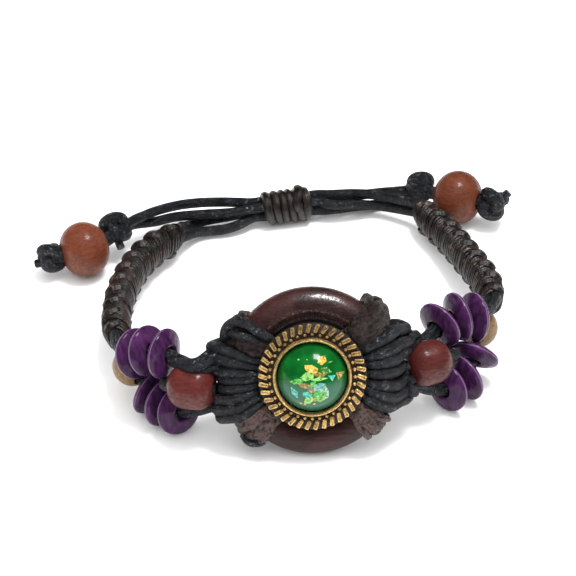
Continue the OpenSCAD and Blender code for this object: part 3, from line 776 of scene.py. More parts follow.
def bead_wood(name, wood, matrix, gloss):
    """Turned wood: grain along the bead's hole and satin polish, darker on the bracelet's right half."""
    finish = Finish(name)
    here = finish.here(matrix)
    across, _, _ = finish.parts(finish.here())
    grain = finish.noise(here, (2.6, 2.6, 0.3), 5, 0.62)
    cloud = finish.noise(here, 0.3, 2)
    pores = finish.noise(here, (5.0, 5.0, 1.1), 2).step(0.56, 0.7)
    dimple = finish.noise(here, (2.6, 2.6, 1.4), 3, 0.7)
    base = finish.layered(
        tone(wood, 0.72),
        (grain.step(0.32, 0.7), tone(wood, 1.2)),
        (cloud.step(0.4, 0.75) * 0.5, tone(wood, 1.45)),
        (pores * 0.3, tone(wood, 0.5)),
        (across.step(-1.0, 1.0) * 0.3, tone(wood, 0.3)),
    )
    normal = finish.bump(pores, -0.05, finish.bump(grain, 0.07))
    return finish.surface(
        Base_Color=base, Roughness=0.36 + grain * 0.25, Normal=normal, Specular_IOR_Level=0.14,
        Coat_Weight=dimple.step(0.35, 0.65) * gloss, Coat_Roughness=0.2,
    )


def disc_dye(name, matrix, seed):
    """Glossy dyed disc with cloudy streaks across it, and a painted highlight along its rim."""
    finish = Finish(name)
    x, y, z = finish.parts(finish.here(matrix))
    streak = finish.noise(finish.joined(x * 0.25 + seed, y * 1.2, z * 0.9), 1.0, 4, 0.6)
    cloud = finish.noise(finish.joined(x + seed, y, z), 0.35, 2)
    rim = (x * x + y * y).step(18.0, 18.7) * (z * z).step(0.03, 0.0)
    base = finish.layered(
        tone("disc", 0.5),
        (streak.step(0.3, 0.75), tone("disc", 1.35)),
        (cloud.step(0.5, 0.8) * 0.45, tone("disc", 2.2)),
        # Painted highlight along the rim
        (rim * 0.36, RIM_HIGHLIGHT_LILAC),
    )
    normal = finish.bump(cloud, 0.3, finish.bump(streak, 0.05))
    return finish.surface(
        Base_Color=base, Roughness=0.14 + streak * 0.1, Normal=normal, Specular_IOR_Level=0.1,
        Coat_Weight=0.17, Coat_Roughness=0.04,
    )


def antique_gold():
    """Gold with dark patina in the hollows, told by the height over the plate, and painted shade in the same
    dark colour towards the top.
    """
    finish = Finish("antique_gold")
    here = finish.here(RING_AXES)
    _, y, z = finish.parts(here)
    wear = finish.noise(here, 1.6, 4, 0.7)
    fine = finish.noise(here, 3.4, 2)
    high = (z + wear * 0.7 - 0.2).step(PLATE_TOP + 0.26, PLATE_TOP + 0.6)
    base = finish.layered(
        tone("gold", 0.45),
        (wear.step(0.35, 0.65), tone("gold", 1.05)),
        (1.0 - high, tone("patina_and_shade")),
        # Painted shade towards the setting's top
        ((y + wear * 5.0).step(2.0, 11.0) * 0.5, tone("patina_and_shade")),
    )
    normal = finish.bump(wear, 0.2, finish.bump(fine, 0.1))
    return finish.surface(
        Base_Color=base, Roughness=0.6 - high * 0.36, Metallic=high * 0.55 + 0.1, Normal=normal
    )


def stone_green():
    """Clear green resin under a glassy coat, with a painted reflection of the floor in paler green over its
    lower part and painted shade towards its rim.
    """
    finish = Finish("stone_green")
    here = finish.here(RING_AXES)
    x, y, _ = finish.parts(here)
    cloud = finish.noise(here, 0.5, 3)
    base = finish.layered(
        tone("stone", 0.75),
        (cloud.step(0.3, 0.7), tone("stone", 1.25)),
        # Painted reflection of the floor over the stone's lower part
        ((cloud * 1.2 - y).step(0.4, 2.2), FLOOR_REFLECTION_GREEN),
        # Painted shade towards the stone's rim, by the bezel
        ((x * x + y * y).step(20.0, 34.0) * 0.25, tone("stone", 0.8)),
    )
    return finish.surface(Base_Color=base, **CLEAR_GLOSS)


def flake_shimmer():
    """Opal flakes: each has the colour of its face, broken by bright bands."""
    finish = Finish("flake_shimmer")
    here = finish.here()
    flaw = finish.noise(here, 2.2, 3, 0.6)
    base = finish.layered(
        finish.node("VertexColor", {"layer_name": "tint"}),
        (finish.noise(here, 1.5, 2).step(0.5, 0.66) * 0.5, FLAKE_BAND),
        (finish.noise(here, 0.9, 1).step(0.58, 0.68) * 0.4, FLAKE_FIRE),
        (flaw.step(0.54, 0.6) * 0.75, FLAKE_FLAW),
        (flaw.step(0.44, 0.36) * 0.5, FLAKE_GLINT),
    )
    return finish.surface(Base_Color=base, **CLEAR_GLOSS)


# Shaping helpers


def deselect_all():
    """Leaves edit mode and selects nothing."""
    if bpy.context.object and bpy.context.object.mode != "OBJECT":
        bpy.ops.object.mode_set(mode="OBJECT")
    bpy.ops.object.select_all(action="DESELECT")


def select_only(*pieces):
    """Selects these pieces, the first of them active."""
    deselect_all()
    for piece in pieces:
        piece.select_set(True)
    bpy.context.view_layer.objects.active = pieces[0]


def joined(pieces):
    """One object of several."""
    select_only(*pieces)
    if len(pieces) > 1:
        bpy.ops.object.join()
    return bpy.context.object


def finished(piece, name, slot, material, *nodes):
    """Names a piece, gives it its finish and lets it ride in place of CAD nodes."""
    select_only(piece)
    bpy.ops.object.transform_apply(location=True, rotation=True, scale=True)
    piece.name = name
    piece.data.name = name
    piece.data.materials.clear()
    piece.data.materials.append(material)
    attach(piece, "root")
    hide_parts(*nodes)
    return piece


def moved(piece, matrix):
    """Moves a piece's mesh."""
    piece.data.transform(matrix)
    piece.data.update()
    return piece


def rounded(piece, angle=40):
    """Smooth shading, but for edges sharper than the angle in degrees."""
    select_only(piece)
    bpy.ops.object.shade_smooth_by_angle(angle=math.radians(angle))
    return piece


def applied(piece, kind, **settings):
    """Adds a modifier, sets it and applies it."""
    select_only(piece)
    modifier = piece.modifiers.new(kind.title(), kind)
    for name, value in settings.items():
        setattr(modifier, name, value)
    bpy.ops.object.modifier_apply(modifier=modifier.name)
    return piece


def turned(profile, sides):
    """A closed lathe shape in millimetres, from rows of radius and height."""
    deselect_all()
    radius, height = profile[0]
    bpy.ops.mesh.primitive_circle_add(
        vertices=sides, radius=radius, location=(0, 0, height), fill_type="NGON"
    )
    piece = bpy.context.object
    bpy.ops.object.transform_apply(location=True)
    bpy.ops.object.mode_set(mode="EDIT")
    bpy.ops.mesh.select_mode(type="EDGE")
    bpy.ops.mesh.select_all(action="DESELECT")
    mesh = bmesh.from_edit_mesh(piece.data)
    for edge in mesh.edges:
        edge.select_set(True)
    bmesh.update_edit_mesh(piece.data)
    for (r0, z0), (r1, z1) in zip(profile, profile[1:]):
        bpy.ops.mesh.extrude_edges_move(TRANSFORM_OT_translate={"value": (0, 0, z1 - z0)})
        bpy.ops.transform.resize(value=(r1 / r0, r1 / r0, 1), center_override=(0, 0, z1))
    bpy.ops.mesh.edge_face_add()
    bpy.ops.mesh.select_all(action="SELECT")
    bpy.ops.mesh.normals_make_consistent(inside=False)
    bpy.ops.object.mode_set(mode="OBJECT")
    return piece


def all_round(piece, count, spot):
    """The piece at a spot and at even turns of it round Z, each copy with its own mesh, joined into one."""
    made = [piece]
    for i in range(1, count):
        copy = piece.copy()
        copy.data = piece.data.copy()
        bpy.context.collection.objects.link(copy)
        made.append(moved(copy, Matrix.Rotation(math.tau * i / count, 4, "Z") @ spot))
    moved(piece, spot)
    return joined(made)


def loft(rings):
    """A closed solid through rings of points."""
    mesh = bmesh.new()
    layer = mesh.loops.layers.uv.new("UVMap")
    rows = [[mesh.verts.new(spot) for spot in ring] for ring in rings]
    n = len(rows[0])
    for k, (near, far) in enumerate(zip(rows, rows[1:])):
        for i in range(n):
            j = (i + 1) % n
            face = mesh.faces.new((near[i], near[j], far[j], far[i]))
            for loop, (u, v) in zip(face.loops, ((i, k), (i + 1, k), (i + 1, k + 1), (i, k + 1))):
                loop[layer].uv = (u / n, v * 0.7)
    mesh.faces.new(rows[0])
    mesh.faces.new(rows[-1])
    bmesh.ops.recalc_face_normals(mesh, faces=mesh.faces)
    data = bpy.data.meshes.new("loft")
    mesh.to_mesh(data)
    mesh.free()
    piece = bpy.data.objects.new("loft", data)
    bpy.context.collection.objects.link(piece)
    return piece


# Routes and cords


def drift(x, y, z):
    """Smooth unevenness between -1 and 1, the same in each run."""
    return noise.noise(Vector((x, y, z)))


def lookup(value, table):
    """Straight-line reading of a table of pairs."""
    for (x0, y0), (x1, y1) in zip(table, table[1:]):
        if value < x1:
            return y0 + (y1 - y0) * max(0, value - x0) / (x1 - x0)
    return table[-1][1]


def on_axis(x, y, z, yaw, tilt):
    """The frame of a disc, bead or knot: its own Z is its axis."""
    turn = Matrix.Rotation(math.radians(yaw), 4, "Z") @ Matrix.Rotation(math.radians(90 - tilt), 4, "Y")
    return Matrix.Translation(place(x, y, z)) @ turn


def axis_of(yaw, tilt):
    """The direction of an axis from its yaw and tilt in degrees."""
    yaw, tilt = math.radians(yaw), math.radians(tilt)
    return Vector((math.cos(tilt) * math.cos(yaw), math.cos(tilt) * math.sin(yaw), math.sin(tilt)))


def ring_spot(out, angle, height):
    """A point from its distance and angle round the ring and its height in front of its plane."""
    angle = math.radians(angle)
    return RING_PLANE @ Vector((out * math.cos(angle), out * math.sin(angle), height))


def way_at(route, i):
    """The direction of a route at one of its points."""
    return (route[min(i + 1, len(route) - 1)] - route[max(i - 1, 0)]).normalized()


def hermite(a, b, da, db, t):
    """A point of the smooth span from a to b, which leaves along da and arrives along db."""
    return (
        (2 * t**3 - 3 * t**2 + 1) * a + (t**3 - 2 * t**2 + t) * da
        + (3 * t**2 - 2 * t**3) * b + (t**3 - t**2) * db
    )


def smooth_route(rows, step):
    """Points in metres, about step millimetres apart, on the curve through free points and beads."""
    spots = [place(*(row if len(row) == 3 else row[1:4])) for row in rows]
    last = len(spots) - 1
    ways = []
    for i, row in enumerate(rows):
        way = way_at(spots, i)
        if len(row) > 3:
            way = (way - axis_of(*row[4:6])).normalized()
        ways.append(way)
    route = []
    for i in range(last):
        span = (spots[i + 1] - spots[i]).length
        parts = math.ceil(span / (step * MM))
        for j in range(parts + (1 if i == last - 1 else 0)):
            route.append(hermite(spots[i], spots[i + 1], span * ways[i], span * ways[i + 1], j / parts))
    return route


def route_length(route, closed=False):
    """Length of a route, back to its start if it is closed."""
    spans = sum((b - a).length for a, b in zip(route, route[1:]))
    return spans + ((route[0] - route[-1]).length if closed else 0)


def cord_mesh(route, radius, closed=False, sides=12, swell=None):
    """A round cord along a route, with UVs of turns round it and millimetres along it."""
    deselect_all()
    bpy.ops.curve.primitive_nurbs_path_add()
    curve = bpy.context.object.data
    curve.splines.clear()
    spline = curve.splines.new("POLY")
    spline.points.add(len(route) - 1)
    for i, (point, spot) in enumerate(zip(spline.points, route)):
        point.co = (*spot, 1)
        point.radius = swell[i] if swell else 1
    spline.use_cyclic_u = closed
    spline.use_smooth = True
    curve.dimensions = "3D"
    curve.twist_mode = "MINIMUM"
    curve.bevel_depth = radius
    curve.bevel_resolution = sides // 4 - 1
    curve.use_fill_caps = not closed
    bpy.ops.object.convert(target="MESH")
    cord = bpy.context.object
    length = route_length(route, closed) / MM
    for corner in cord.data.uv_layers[0].data:
        corner.uv.y *= length
    return cord


# Pieces


def wrap_strand(strand, strands, side, top, bottom, tip_back, tip_reach, hollow):
    """Route and swell of one cord of a wrap, once round the ring's rod."""
    hollow_out, hollow_angle, hollow_r = hollow
    uneven = drift(strand * 2.7, side * 5.1, 0.3)
    share = min(0.97, max(0.03, (strand + 0.5 + 0.3 * uneven) / strands))

    def angle_at(out):
        return math.radians(lookup(out, bottom) * (1 - share) + lookup(out, top) * share)

    # A cord that ends in front of the bead's hollow is the shorter for it
    aside = angle_at(WRAP_TIP) - math.radians(hollow_angle)
    off = hollow_out * math.sin(aside)
    reach = tip_reach
    if abs(off) < hollow_r:
        reach = min(reach, hollow_out * math.cos(aside) - math.sqrt(hollow_r**2 - off**2))
    bend = (reach - RING_R - ROD_R) / (tip_reach - RING_R - ROD_R)
    cover = ROD_R + GAP + WRAP_CORD_R
    route, swell = [], []
    for i in range(WRAP_POINTS):
        a = math.tau * i / WRAP_POINTS
        beyond = math.cos(a) > 0
        span = (reach - WRAP_CORD_R - RING_R) if beyond else cover
        out = RING_R + span * math.cos(a)
        z = cover * math.sin(a) + (tip_back * bend * math.cos(a) ** 2 if beyond else 0)
        spread = math.radians(lookup(out, top) - lookup(out, bottom)) / strands
        thick = min(WRAP_CORD_MAX, max(WRAP_CORD_MIN, WRAP_FILL * out * spread))
        thick = thick * (1 + WRAP_UNEVEN * drift(a * 1.3, strand, side))
        if out < PLATE_R + WRAP_RIM:
            z = min(z, PLATE_BACK - thick - WRAP_ROOM)
        wave = 0.1 * math.sin(3 * a + 1.9 * strand) + WRAP_UNEVEN * drift(a * 2.1, strand * 1.7, 4.0)
        angle = angle_at(out)
        spot = Vector((side * out * math.cos(angle), out * math.sin(angle) + wave, z + wave * 0.6))
        route.append(RING_PLANE @ spot)
        swell.append(thick)
    return route, swell


def make_wrap(name, strands, side, top, bottom, tip_back, tip_reach, *hollow):
    """Cords hitched side by side over the ring, and the small knot on them."""
    made = []
    for strand in range(strands):
        route, swell = wrap_strand(strand, strands, side, top, bottom, tip_back, tip_reach, hollow)
        made.append(cord_mesh(route, MM, closed=True, sides=16, swell=swell))
    made.append(overhand(*WRAP_KNOTS[name]))
    return rounded(joined(made))


def make_bunch(spread, points):
    """Thin cords that leave a wrap apart and twist together into a disc's hole."""
    route = smooth_route(points, STEPS["bunch"])
    made = []
    for k in range(BUNCH_CORDS):
        strand, swell = [], []
        for i, spot in enumerate(route):
            u = i / (len(route) - 1)
            way = way_at(route, i)
            side = way.cross(Vector((0, 0, 1))).normalized()
            up = side.cross(way)
            a = math.tau * k / BUNCH_CORDS + BUNCH_TWIST * u + BUNCH_START
            apart = BUNCH_APART + spread * max(0, 1 - 1.7 * u) ** 2
            strand.append(spot + MM * apart * (BUNCH_FLAT * math.cos(a) * side + math.sin(a) * up))
            uneven = BUNCH_UNEVEN * drift(3.1 * k, 9 * u, 0.7)
            swell.append(BUNCH_R + BUNCH_SWELL * math.sin(math.pi * u) + uneven)
        made.append(cord_mesh(strand, MM, sides=12, swell=swell))
    return made


def make_binding(name, turns):
    """Turns of soft cord tied round the rod, pressed into each other and creased."""
    made = []
    for n, (outside, inside, radius, lift) in enumerate(turns):
        route, swell = [], []
        for i in range(BINDING_POINTS):
            a = math.tau * i / BINDING_POINTS
            c = math.cos(a)
            cover = ROD_R + GAP + radius + lift * max(0, math.cos(a - 0.6))
            lump = drift(2.4 * c, 2.4 * math.sin(a), 7.3 * n + outside)
            angle = (outside + inside) / 2 + (outside - inside) / 2 * c + BINDING_WANDER * lump
            height = cover * math.sin(a)
            out = RING_R + cover * c
            if out < PLATE_R + BINDING_RIM:
                height = min(height, PLATE_BACK - radius - BINDING_ROOM)
            route.append(ring_spot(out, angle, height))
            swell.append(radius * (1 + BINDING_UNEVEN * lump))
        made.append(cord_mesh(route, MM, closed=True, sides=16, swell=swell))
    piece = joined(made)
    applied(piece, "REMESH", mode="VOXEL", voxel_size=BINDING_GRID * MM, use_smooth_shade=True)
    applied(piece, "SMOOTH", factor=0.5, iterations=2)
    for scale, strength in WRINKLES:
        wrinkle = bpy.data.textures.new(name + "_wrinkle", "CLOUDS")
        wrinkle.noise_scale = scale * MM
        wrinkle.noise_depth = 2
        applied(
            piece, "DISPLACE", texture=wrinkle, strength=strength * MM, mid_level=0.5, texture_coords="LOCAL"
        )
    return piece


def loose_end(radius, points):
    """A short cord that lies over a binding, thicker in its middle."""
    spots = [tuple(ring_spot(*point) / MM + MIDDLE) for point in points]
    route = smooth_route(spots, STEPS["loose"])
    last = len(route) - 1
    swell = [radius * (0.8 + 0.25 * math.sin(math.pi * i / last)) for i in range(last + 1)]
    return rounded(cord_mesh(route, MM, sides=14, swell=swell))


def band_sections(points):
    """Sections of a band: how far along it, then the middle and the directions up and across."""
    route = smooth_route(points, STEPS["band"])
    outwards = 1 if points[1][0] > 0 else -1
    lean = math.radians(BAND_LEAN)
    sections = []
    along = 0.0
    for i, spot in enumerate(route):
        way = way_at(route, i)
        out = (outwards * way.cross(Vector((0, 0, 1)))).normalized()
        up = (Vector((0, 0, math.cos(lean))) + math.sin(lean) * out).normalized()
        across = up.cross(way).normalized() * outwards
        if i:
            along += (spot - route[i - 1]).length
        sections.append((along, spot, up, across))
    return sections


def section_at(sections, along):
    """The section at a distance along the band, in metres."""
    for first, second in zip(sections, sections[1:]):
        if along <= second[0]:
            t = (along - first[0]) / (second[0] - first[0])
            return [a.lerp(b, t) for a, b in zip(first[1:], second[1:])]
    return sections[-1][1:]


def make_band(name, points):
    """A row of square knots: slanted fine turns round a core, and for each knot a knob on both edges."""
    lace = bpy.context.scene.bracelet_sizes.lace_radius / MM
    sections = band_sections(points)
    length = sections[-1][0] / MM
    knots = round(length / KNOT_PITCH)
    pitch = length / knots
    made = []

    def taper(s):
        """Share of the full section at a distance along the band."""
        return min(1, BAND_END + (1 - BAND_END) * min(s, length - s) / (BAND_NARROWS * pitch))

    def spot_at(s, high, wide):
        """A point in millimetres along the band, up and across from its middle line."""
        spot, up, across = section_at(sections, max(0, min(length, s)) * MM)
        return spot + MM * (high * up + wide * across)

    def turn(s, wide, high, skew, count=TURN_POINTS):
        """One turn round the band, with its edges pulled skew millimetres along it."""
        route = []
        for i in range(count):
            a = math.tau * i / count
            c, d = math.cos(a), math.sin(a)
            square = (abs(c) ** BAND_SQUARE + abs(d) ** BAND_SQUARE) ** (-1 / BAND_SQUARE)
            route.append(spot_at(s + skew * d, high * d * square, wide * c * square))
        return route

    def knob(middle, edge, long, thick, reach):
        """A knob that lies over an edge, from one face of the band to the other."""
        size = taper(middle)
        route, swell = [], []
        for i in range(KNOB_POINTS):
            u = i / (KNOB_POINTS - 1)
            a = math.radians(-reach + 2 * reach * u)
            high = (BAND_W / 2 * size - 0.8 * thick) * edge * math.cos(a * 0.8)
            wide = (BAND_T / 2 * size - 0.55 * thick) * math.sin(a)
            route.append(spot_at(middle + (u - 0.5) * long, high, wide))
            swell.append(thick * (0.7 + 0.3 * math.sin(math.pi * u)) * size)
        return cord_mesh(route, MM, sides=14, swell=swell)

    for k in range(knots * KNOT_TURNS):
        s = (k + 0.5) * pitch / KNOT_TURNS
        beat = math.sin(math.pi * (k % KNOT_TURNS + 0.5) / KNOT_TURNS)
        uneven = drift(1.7 * k, 3.1, len(name))
        wide = BAND_T / 2 * (0.93 + 0.06 * beat + 0.04 * uneven) * taper(s) - lace
        high = BAND_W / 2 * (0.82 + 0.05 * beat) * taper(s) - lace
        route = turn(s + 0.15 * uneven, wide, high, LACE_SLANT + 0.5 * uneven)
        made.append(cord_mesh(route, lace * MM * (1.05 + 0.45 * uneven), closed=True, sides=8))
    for n in range(knots):
        uneven = drift(3.3 * n, 1.1, len(name))
        for share, edge, long, thick, sway, reach in KNOBS:
            middle = (n + share) * pitch + edge * 0.3 * uneven
            made.append(knob(middle, edge, long, thick + sway * uneven, reach))
    core = []
    for i in range(CORE_SECTIONS + 1):
        s = length * i / CORE_SECTIONS
        wide = (BAND_T / 2 - CORE_BELOW[0]) * taper(s)
        high = (BAND_W / 2 - CORE_BELOW[1]) * taper(s)
        core.append(turn(s, wide, high, 0, CORE_POINTS))
    made.append(loft(core))
    return rounded(joined(made))


def make_sliding_knot():
    """Turns of brown cord round the four drawcords, and the finishing turn over them."""
    axis = on_axis(*SLIDE_MIDDLE, SLIDE_YAW, 0)
    outer = SLIDE_D / 2

    def spot_at(reach, a, along):
        return axis @ (MM * Vector((reach * math.cos(a), reach * math.sin(a), along)))

    total = sum(2 * r for r in SLIDE_TURNS)
    edge = -SLIDE_L / 2
    middles = []
    for r in SLIDE_TURNS:
        middles.append(edge + r * SLIDE_L / total)
        edge += 2 * r * SLIDE_L / total
    route, swell = [], []
    for n, r in enumerate(SLIDE_TURNS):
        following = min(n + 1, len(SLIDE_TURNS) - 1)
        for i in range(SLIDE_POINTS):
            u = i / SLIDE_POINTS
            # The cord keeps to its turn, then passes smoothly to the next one
            blend = max(0.0, (u - SLIDE_PASSES) / (1 - SLIDE_PASSES))
            blend = blend * blend * (3 - 2 * blend)
            thick = (r + (SLIDE_TURNS[following] - r) * blend) * SLIDE_PRESS
            along = middles[n] + (middles[following] - middles[n]) * blend
            route.append(spot_at(outer - thick, math.tau * u + 0.6, along))
            swell.append(thick)
    coil = cord_mesh(route, MM, sides=12, swell=swell)
    lap, lap_swell = [], []
    for i in range(LAP_POINTS):
        u = i / (LAP_POINTS - 1)
        reach = outer - LAP_DEPTH + LAP_RISE * math.sin(math.pi * u)
        a = math.radians(LAP_START + LAP_SWEEP * u)
        lap.append(spot_at(reach, a, SLIDE_L / 2 - LAP_BACK + LAP_ALONG * u))
        lap_swell.append(0.55 + 0.5 * math.sin(math.pi * u) ** 0.6)
    return rounded(joined([coil, cord_mesh(lap, MM, sides=12, swell=lap_swell)]))


def overhand(x, y, z, yaw, size, turn):
    """A tight overhand knot on its cord: a three-lobed loop, thick enough to press on itself."""
    axis = on_axis(x, y, z, yaw, 0) @ Matrix.Rotation(math.radians(turn), 4, "Z") @ Matrix.Scale(MM * size, 4)
    route = []
    for i in range(OVERHAND_POINTS):
        t = math.tau * i / OVERHAND_POINTS
        spot = Vector((
            OVERHAND_LOBE * (math.sin(t) + OVERHAND_REACH * math.sin(2 * t)),
            OVERHAND_LOBE * (math.cos(t) - OVERHAND_REACH * math.cos(2 * t)),
            -OVERHAND_RISE * math.sin(3 * t) + 0.2 * math.sin(2 * t + 1.0),
        ))
        route.append(axis @ spot)
    return cord_mesh(route, OVERHAND_R * MM * size, closed=True, sides=16)


def make_knot(name):
    """A knot with the ends of its cord."""
    made = [overhand(*KNOTS[name])]
    for radius, *points in TAILS[name]:
        made.append(cord_mesh(smooth_route(points, STEPS["tail"]), radius * MM, sides=12))
    return rounded(joined(made))


def make_bar():
    """One raised bar of the setting, broader and lower at its outer end, with a sunk top."""
    deselect_all()
    bpy.ops.mesh.primitive_cube_add(size=1, scale=BAR_SIZE)
    bar = bpy.context.object
    bpy.ops.object.transform_apply(scale=True)
    bpy.ops.object.mode_set(mode="EDIT")
    bpy.ops.mesh.select_all(action="SELECT")
    bpy.ops.mesh.bevel(offset=BAR_BEVEL, segments=3, affect="EDGES")
    bpy.ops.mesh.select_all(action="DESELECT")
    mesh = bmesh.from_edit_mesh(bar.data)
    top = max(mesh.faces, key=lambda face: face.calc_center_median().z)
    top.select_set(True)
    bmesh.update_edit_mesh(bar.data)
    bpy.ops.mesh.inset(thickness=BAR_RIM, depth=-BAR_SUNK)
    bpy.ops.object.mode_set(mode="OBJECT")
    for vertex in bar.data.vertices:
        if vertex.co.x > 0:
            vertex.co.y *= BAR_WIDENS
            vertex.co.z -= BAR_FALLS * vertex.co.x
    return rounded(bar, 60)


def make_setting():
    """Plate, bezel, slanted bars and grains of one casting."""
    sizes = bpy.context.scene.bracelet_sizes
    plate = rounded(turned(SETTING_PROFILE, 128), 50)
    slant = Matrix.Rotation(math.radians(BAR_SLANT), 4, "Z")
    bars = all_round(make_bar(), sizes.bar_count, Matrix.Translation((BAR_ROW_R, 0, BAR_Z)) @ slant)
    deselect_all()
    bpy.ops.mesh.primitive_uv_sphere_add(segments=14, ring_count=9, radius=GRAIN_R)
    grain = rounded(bpy.context.object, 80)
    grains = all_round(grain, sizes.grain_count, Matrix.Translation((GRAIN_ROW_R, 0, GRAIN_Z)))
    return moved(joined([plate, bars, grains]), RING_PLANE)


def make_stone():
    """The domed cabochon."""
    steps = 20
    foot = math.acos((STONE_Z - DOME_MIDDLE) / DOME_R)
    profile = []
    for i in range(steps):
        a = foot * (1 - i / steps)
        profile.append((min(DOME_R * math.sin(a), STONE_R), DOME_MIDDLE + DOME_R * math.cos(a)))
    return moved(rounded(turned(profile, 96), 60), RING_PLANE)


def make_flakes():
    """Thin chips that follow the dome just under its gloss."""
    made = []
    for n, (x, y, length, width, turn, sides, colour) in enumerate(FLAKES):
        deselect_all()
        bpy.ops.mesh.primitive_circle_add(vertices=sides, radius=0.5, fill_type="NGON")
        flake = bpy.context.object
        for vertex in flake.data.vertices:
            vertex.co *= 1 + FLAKE_UNEVEN * drift(n * 3.7, vertex.index * 1.9, 0.4)
        shape = Matrix.Translation((x, y, 0)) @ Matrix.Rotation(math.radians(turn), 4, "Z")
        moved(flake, shape @ Matrix.Diagonal((length * FLAKE_SCALE, width * FLAKE_SCALE, 1, 1)))
        bpy.ops.object.mode_set(mode="EDIT")
        bpy.ops.mesh.select_all(action="SELECT")
        bpy.ops.mesh.poke()
        bpy.ops.mesh.subdivide(number_cuts=3)
        bpy.ops.mesh.extrude_region_move(TRANSFORM_OT_translate={"value": (0, 0, FLAKE_T)})
        bpy.ops.mesh.select_all(action="SELECT")
        bpy.ops.mesh.normals_make_consistent(inside=False)
        bpy.ops.object.mode_set(mode="OBJECT")
        # The top face lies a little over the dome, each flake at its own height, and the rest in it
        lift = FLAKE_LIFT + FLAKE_STEP * (n % FLAKE_HEIGHTS)
        for vertex in flake.data.vertices:
            over = vertex.co.z > FLAKE_T / 2
            flat = math.hypot(vertex.co.x, vertex.co.y)
            r = DOME_R + (lift if over else -FLAKE_DEPTH)
            vertex.co.z = DOME_MIDDLE + math.sqrt(max(0.01, r * r - flat * flat))
        tint = flake.data.color_attributes.new("tint", "FLOAT_COLOR", "CORNER")
        for corner in tint.data:
            corner.color = (*colour, 1)
        made.append(flake)
    return moved(rounded(joined(made), 40), RING_PLANE)


def paint(node, material):
    """Gives a CAD node a material."""
    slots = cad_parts[node].data.materials
    slots.clear()
    slots.append(material)


# Operators


class BRACELET_OT_stage(Operator):
    """Camera, floor and lights"""

    bl_idname = "bracelet.stage"
    bl_label = "Stage"

    def execute(self, context):
        studio = context.scene.bracelet_studio
        deselect_all()
        bpy.ops.object.camera_add(
            location=place(*CAMERA_SPOT), rotation=(math.pi / 2 - studio.elevation, 0, 0)
        )
        camera = context.object
        camera.data.lens = studio.lens
        camera.data.sensor_width = 36
        camera.data.clip_start = 0.01
        context.scene.camera = camera

        deselect_all()
        bpy.ops.mesh.primitive_plane_add(size=FLOOR_W)
        floor = context.object
        floor.name = "floor"
        floor.data.materials.append(Finish("white_paper").surface(Base_Color=PAPER_WHITE, Roughness=0.7))

        world = bpy.data.worlds.new("soft_room")
        context.scene.world = world
        world.use_nodes = True
        room = world.node_tree.nodes["Background"]
        room.inputs["Color"].default_value = (1.0, 1.0, 1.0, 1)
        room.inputs["Strength"].default_value = studio.sky
        world.cycles_visibility.glossy = False
        context.scene.view_settings.view_transform = "Standard"

        for name, spot, size, share, shows in LAMPS:
            deselect_all()
            aim = (LAMP_AIM - Vector(spot)).to_track_quat("-Z", "Y").to_euler()
            bpy.ops.object.light_add(type="AREA", location=spot, rotation=aim)
            lamp = context.object
            lamp.name = name
            lamp.data.size = size
            lamp.data.energy = studio.key_power * share
            lamp.visible_glossy = shows
        return {"FINISHED"}


class BRACELET_OT_drawcords(Operator):
    """Four black cords through the sliding knot, with their knots"""

    bl_idname = "bracelet.drawcords"
    bl_label = "Drawcords"

    def execute(self, context):
        cord_radius = context.scene.bracelet_sizes.cord_radius
        material = black_cord()
        for name in KNOTS:
            finished(make_knot(name), name + "_cord", "black_cord", material, name)
        for name, points in DRAWCORDS.items():
            route = smooth_route(points, STEPS["drawcord"])
            way = BAND_WAYS["left" if "left" in name else "right"]
            start = [spot - BURIED * step for spot, step in zip(points[0], way)]
            buried = smooth_route([start, *points], STEPS["drawcord"])
            cord = rounded(cord_mesh(buried, cord_radius, sides=16))
            finished(cord, name + "_waxed", "black_cord", material, name)
            route_length(route)
        return {"FINISHED"}


class BRACELET_OT_threads(Operator):
    """Black threads through the discs and beads"""

    bl_idname = "bracelet.threads"
    bl_label = "Threads"

    def execute(self, context):
        material = bpy.data.materials["black_waxed_cord"]
        for name, (radius, rows) in THREADS.items():
            made = [cord_mesh(smooth_route(rows, STEPS["thread"]), radius * MM, sides=16)]
            if name in BUNCHES:
                made += make_bunch(*BUNCHES[name])
            finished(rounded(joined(made)), name + "_waxed", "black_cord", material, name)
        return {"FINISHED"}


class BRACELET_OT_wraps(Operator):
    """Black cords hitched over both sides of the ring"""

    bl_idname = "bracelet.wraps"
    bl_label = "Cord wraps"

    def execute(self, context):
        material = bpy.data.materials["black_waxed_cord"]
        for name, row in WRAPS.items():
            finished(make_wrap(name, *row), name + "_strands", "black_cord", material, name)
        return {"FINISHED"}


class BRACELET_OT_bindings(Operator):
    """Brown cord tied round the ring at its four corners"""

    bl_idname = "bracelet.bindings"
    bl_label = "Bindings"

    def execute(self, context):
        material = brown_cord("creased_brown_cord", creased=True)
        for name, turns in BINDINGS.items():
            brown = [make_binding(name, turns)]
            black = []
            for kind, radius, points in LOOSE_ENDS.get(name, ()):
                (brown if kind == "brown" else black).append(loose_end(radius, points))
            finished(joined(brown), name + "_turns", "brown_cord", material, name)
            if black:
                waxed = bpy.data.materials["black_waxed_cord"]
                finished(joined(black), name + "_loose", "black_cord", waxed)
        return {"FINISHED"}


class BRACELET_OT_bands(Operator):
    """Bands of square knots and the sliding knot"""

    bl_idname = "bracelet.bands"
    bl_label = "Knotted bands"

    def execute(self, context):
        material = brown_cord("brown_waxed_cord")
        for name, points in BANDS.items():
            finished(make_band(name, points), name + "_knots", "brown_cord", material, name)
        finished(make_sliding_knot(), "sliding_knot_turns", "brown_cord", material, "sliding_knot")
        return {"FINISHED"}


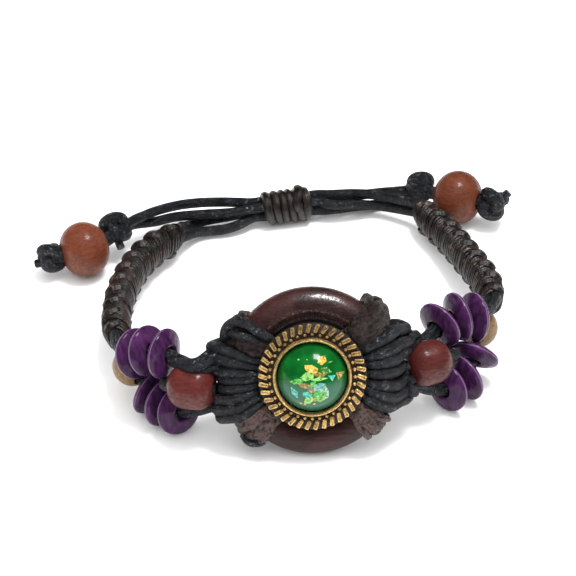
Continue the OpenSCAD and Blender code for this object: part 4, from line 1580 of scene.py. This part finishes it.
class BRACELET_OT_setting(Operator):
    """Gold setting, stone and the flakes in it"""

    bl_idname = "bracelet.setting"
    bl_label = "Setting and stone"

    def execute(self, context):
        finished(make_setting(), "setting_casting", "antique_brass", antique_gold(), "setting")
        finished(make_stone(), "stone_dome", "green_stone", stone_green(), "stone")
        finished(make_flakes(), "stone_flakes", "green_stone", flake_shimmer())
        return {"FINISHED"}


class BRACELET_OT_woods(Operator):
    """Finishes of the ring, discs and beads"""

    bl_idname = "bracelet.woods"
    bl_label = "Ring, discs and beads"

    def execute(self, context):
        paint("wood_ring", ring_wood())
        for n, row in enumerate(DISCS_LEFT_UPPER + DISCS_LEFT_LOWER + DISCS_RIGHT_UPPER + DISCS_RIGHT_LOWER):
            paint(row[0], disc_dye(row[0] + "_dye", on_axis(*row[1:]), 7.3 * n))
        for key, row in BEADS.items():
            wood, gloss = BEAD_WOODS[key.split("_")[0]]
            paint(row[0], bead_wood(row[0] + "_wood", wood, on_axis(*row[1:]), gloss))
        return {"FINISHED"}


class BRACELET_PT_pieces(Panel):
    """The bracelet's pieces, in the order in which they are made"""

    bl_idname = "BRACELET_PT_pieces"
    bl_label = "Bracelet"
    bl_space_type = "VIEW_3D"
    bl_region_type = "UI"
    bl_category = "Bracelet"

    def draw(self, context):
        for kind in OPERATORS:
            self.layout.operator(kind.bl_idname)
        for name in GROUPS:
            group = getattr(context.scene, name)
            for setting in group.bl_rna.properties.keys():
                if setting not in ("rna_type", "name"):
                    self.layout.prop(group, setting)


OPERATORS = (
    BRACELET_OT_stage,
    BRACELET_OT_drawcords,
    BRACELET_OT_threads,
    BRACELET_OT_wraps,
    BRACELET_OT_bindings,
    BRACELET_OT_bands,
    BRACELET_OT_setting,
    BRACELET_OT_woods,
)
GROUPS = {
    "bracelet_sizes": BraceletSizes,
    "bracelet_colours": BraceletColours,
    "bracelet_studio": BraceletStudio,
}


def register():
    for kind in (*GROUPS.values(), *OPERATORS, BRACELET_PT_pieces):
        bpy.utils.register_class(kind)
    for name, kind in GROUPS.items():
        setattr(bpy.types.Scene, name, PointerProperty(type=kind))


def unregister():
    for name in GROUPS:
        delattr(bpy.types.Scene, name)
    for kind in (BRACELET_PT_pieces, *reversed(OPERATORS), *reversed(GROUPS.values())):
        bpy.utils.unregister_class(kind)


def main():
    register()
    deselect_all()
    bpy.ops.bracelet.stage()
    bpy.ops.bracelet.drawcords()
    bpy.ops.bracelet.threads()
    bpy.ops.bracelet.wraps()
    bpy.ops.bracelet.bindings()
    bpy.ops.bracelet.bands()
    bpy.ops.bracelet.setting()
    bpy.ops.bracelet.woods()
    deselect_all()


if __name__ == "__main__":
    main()
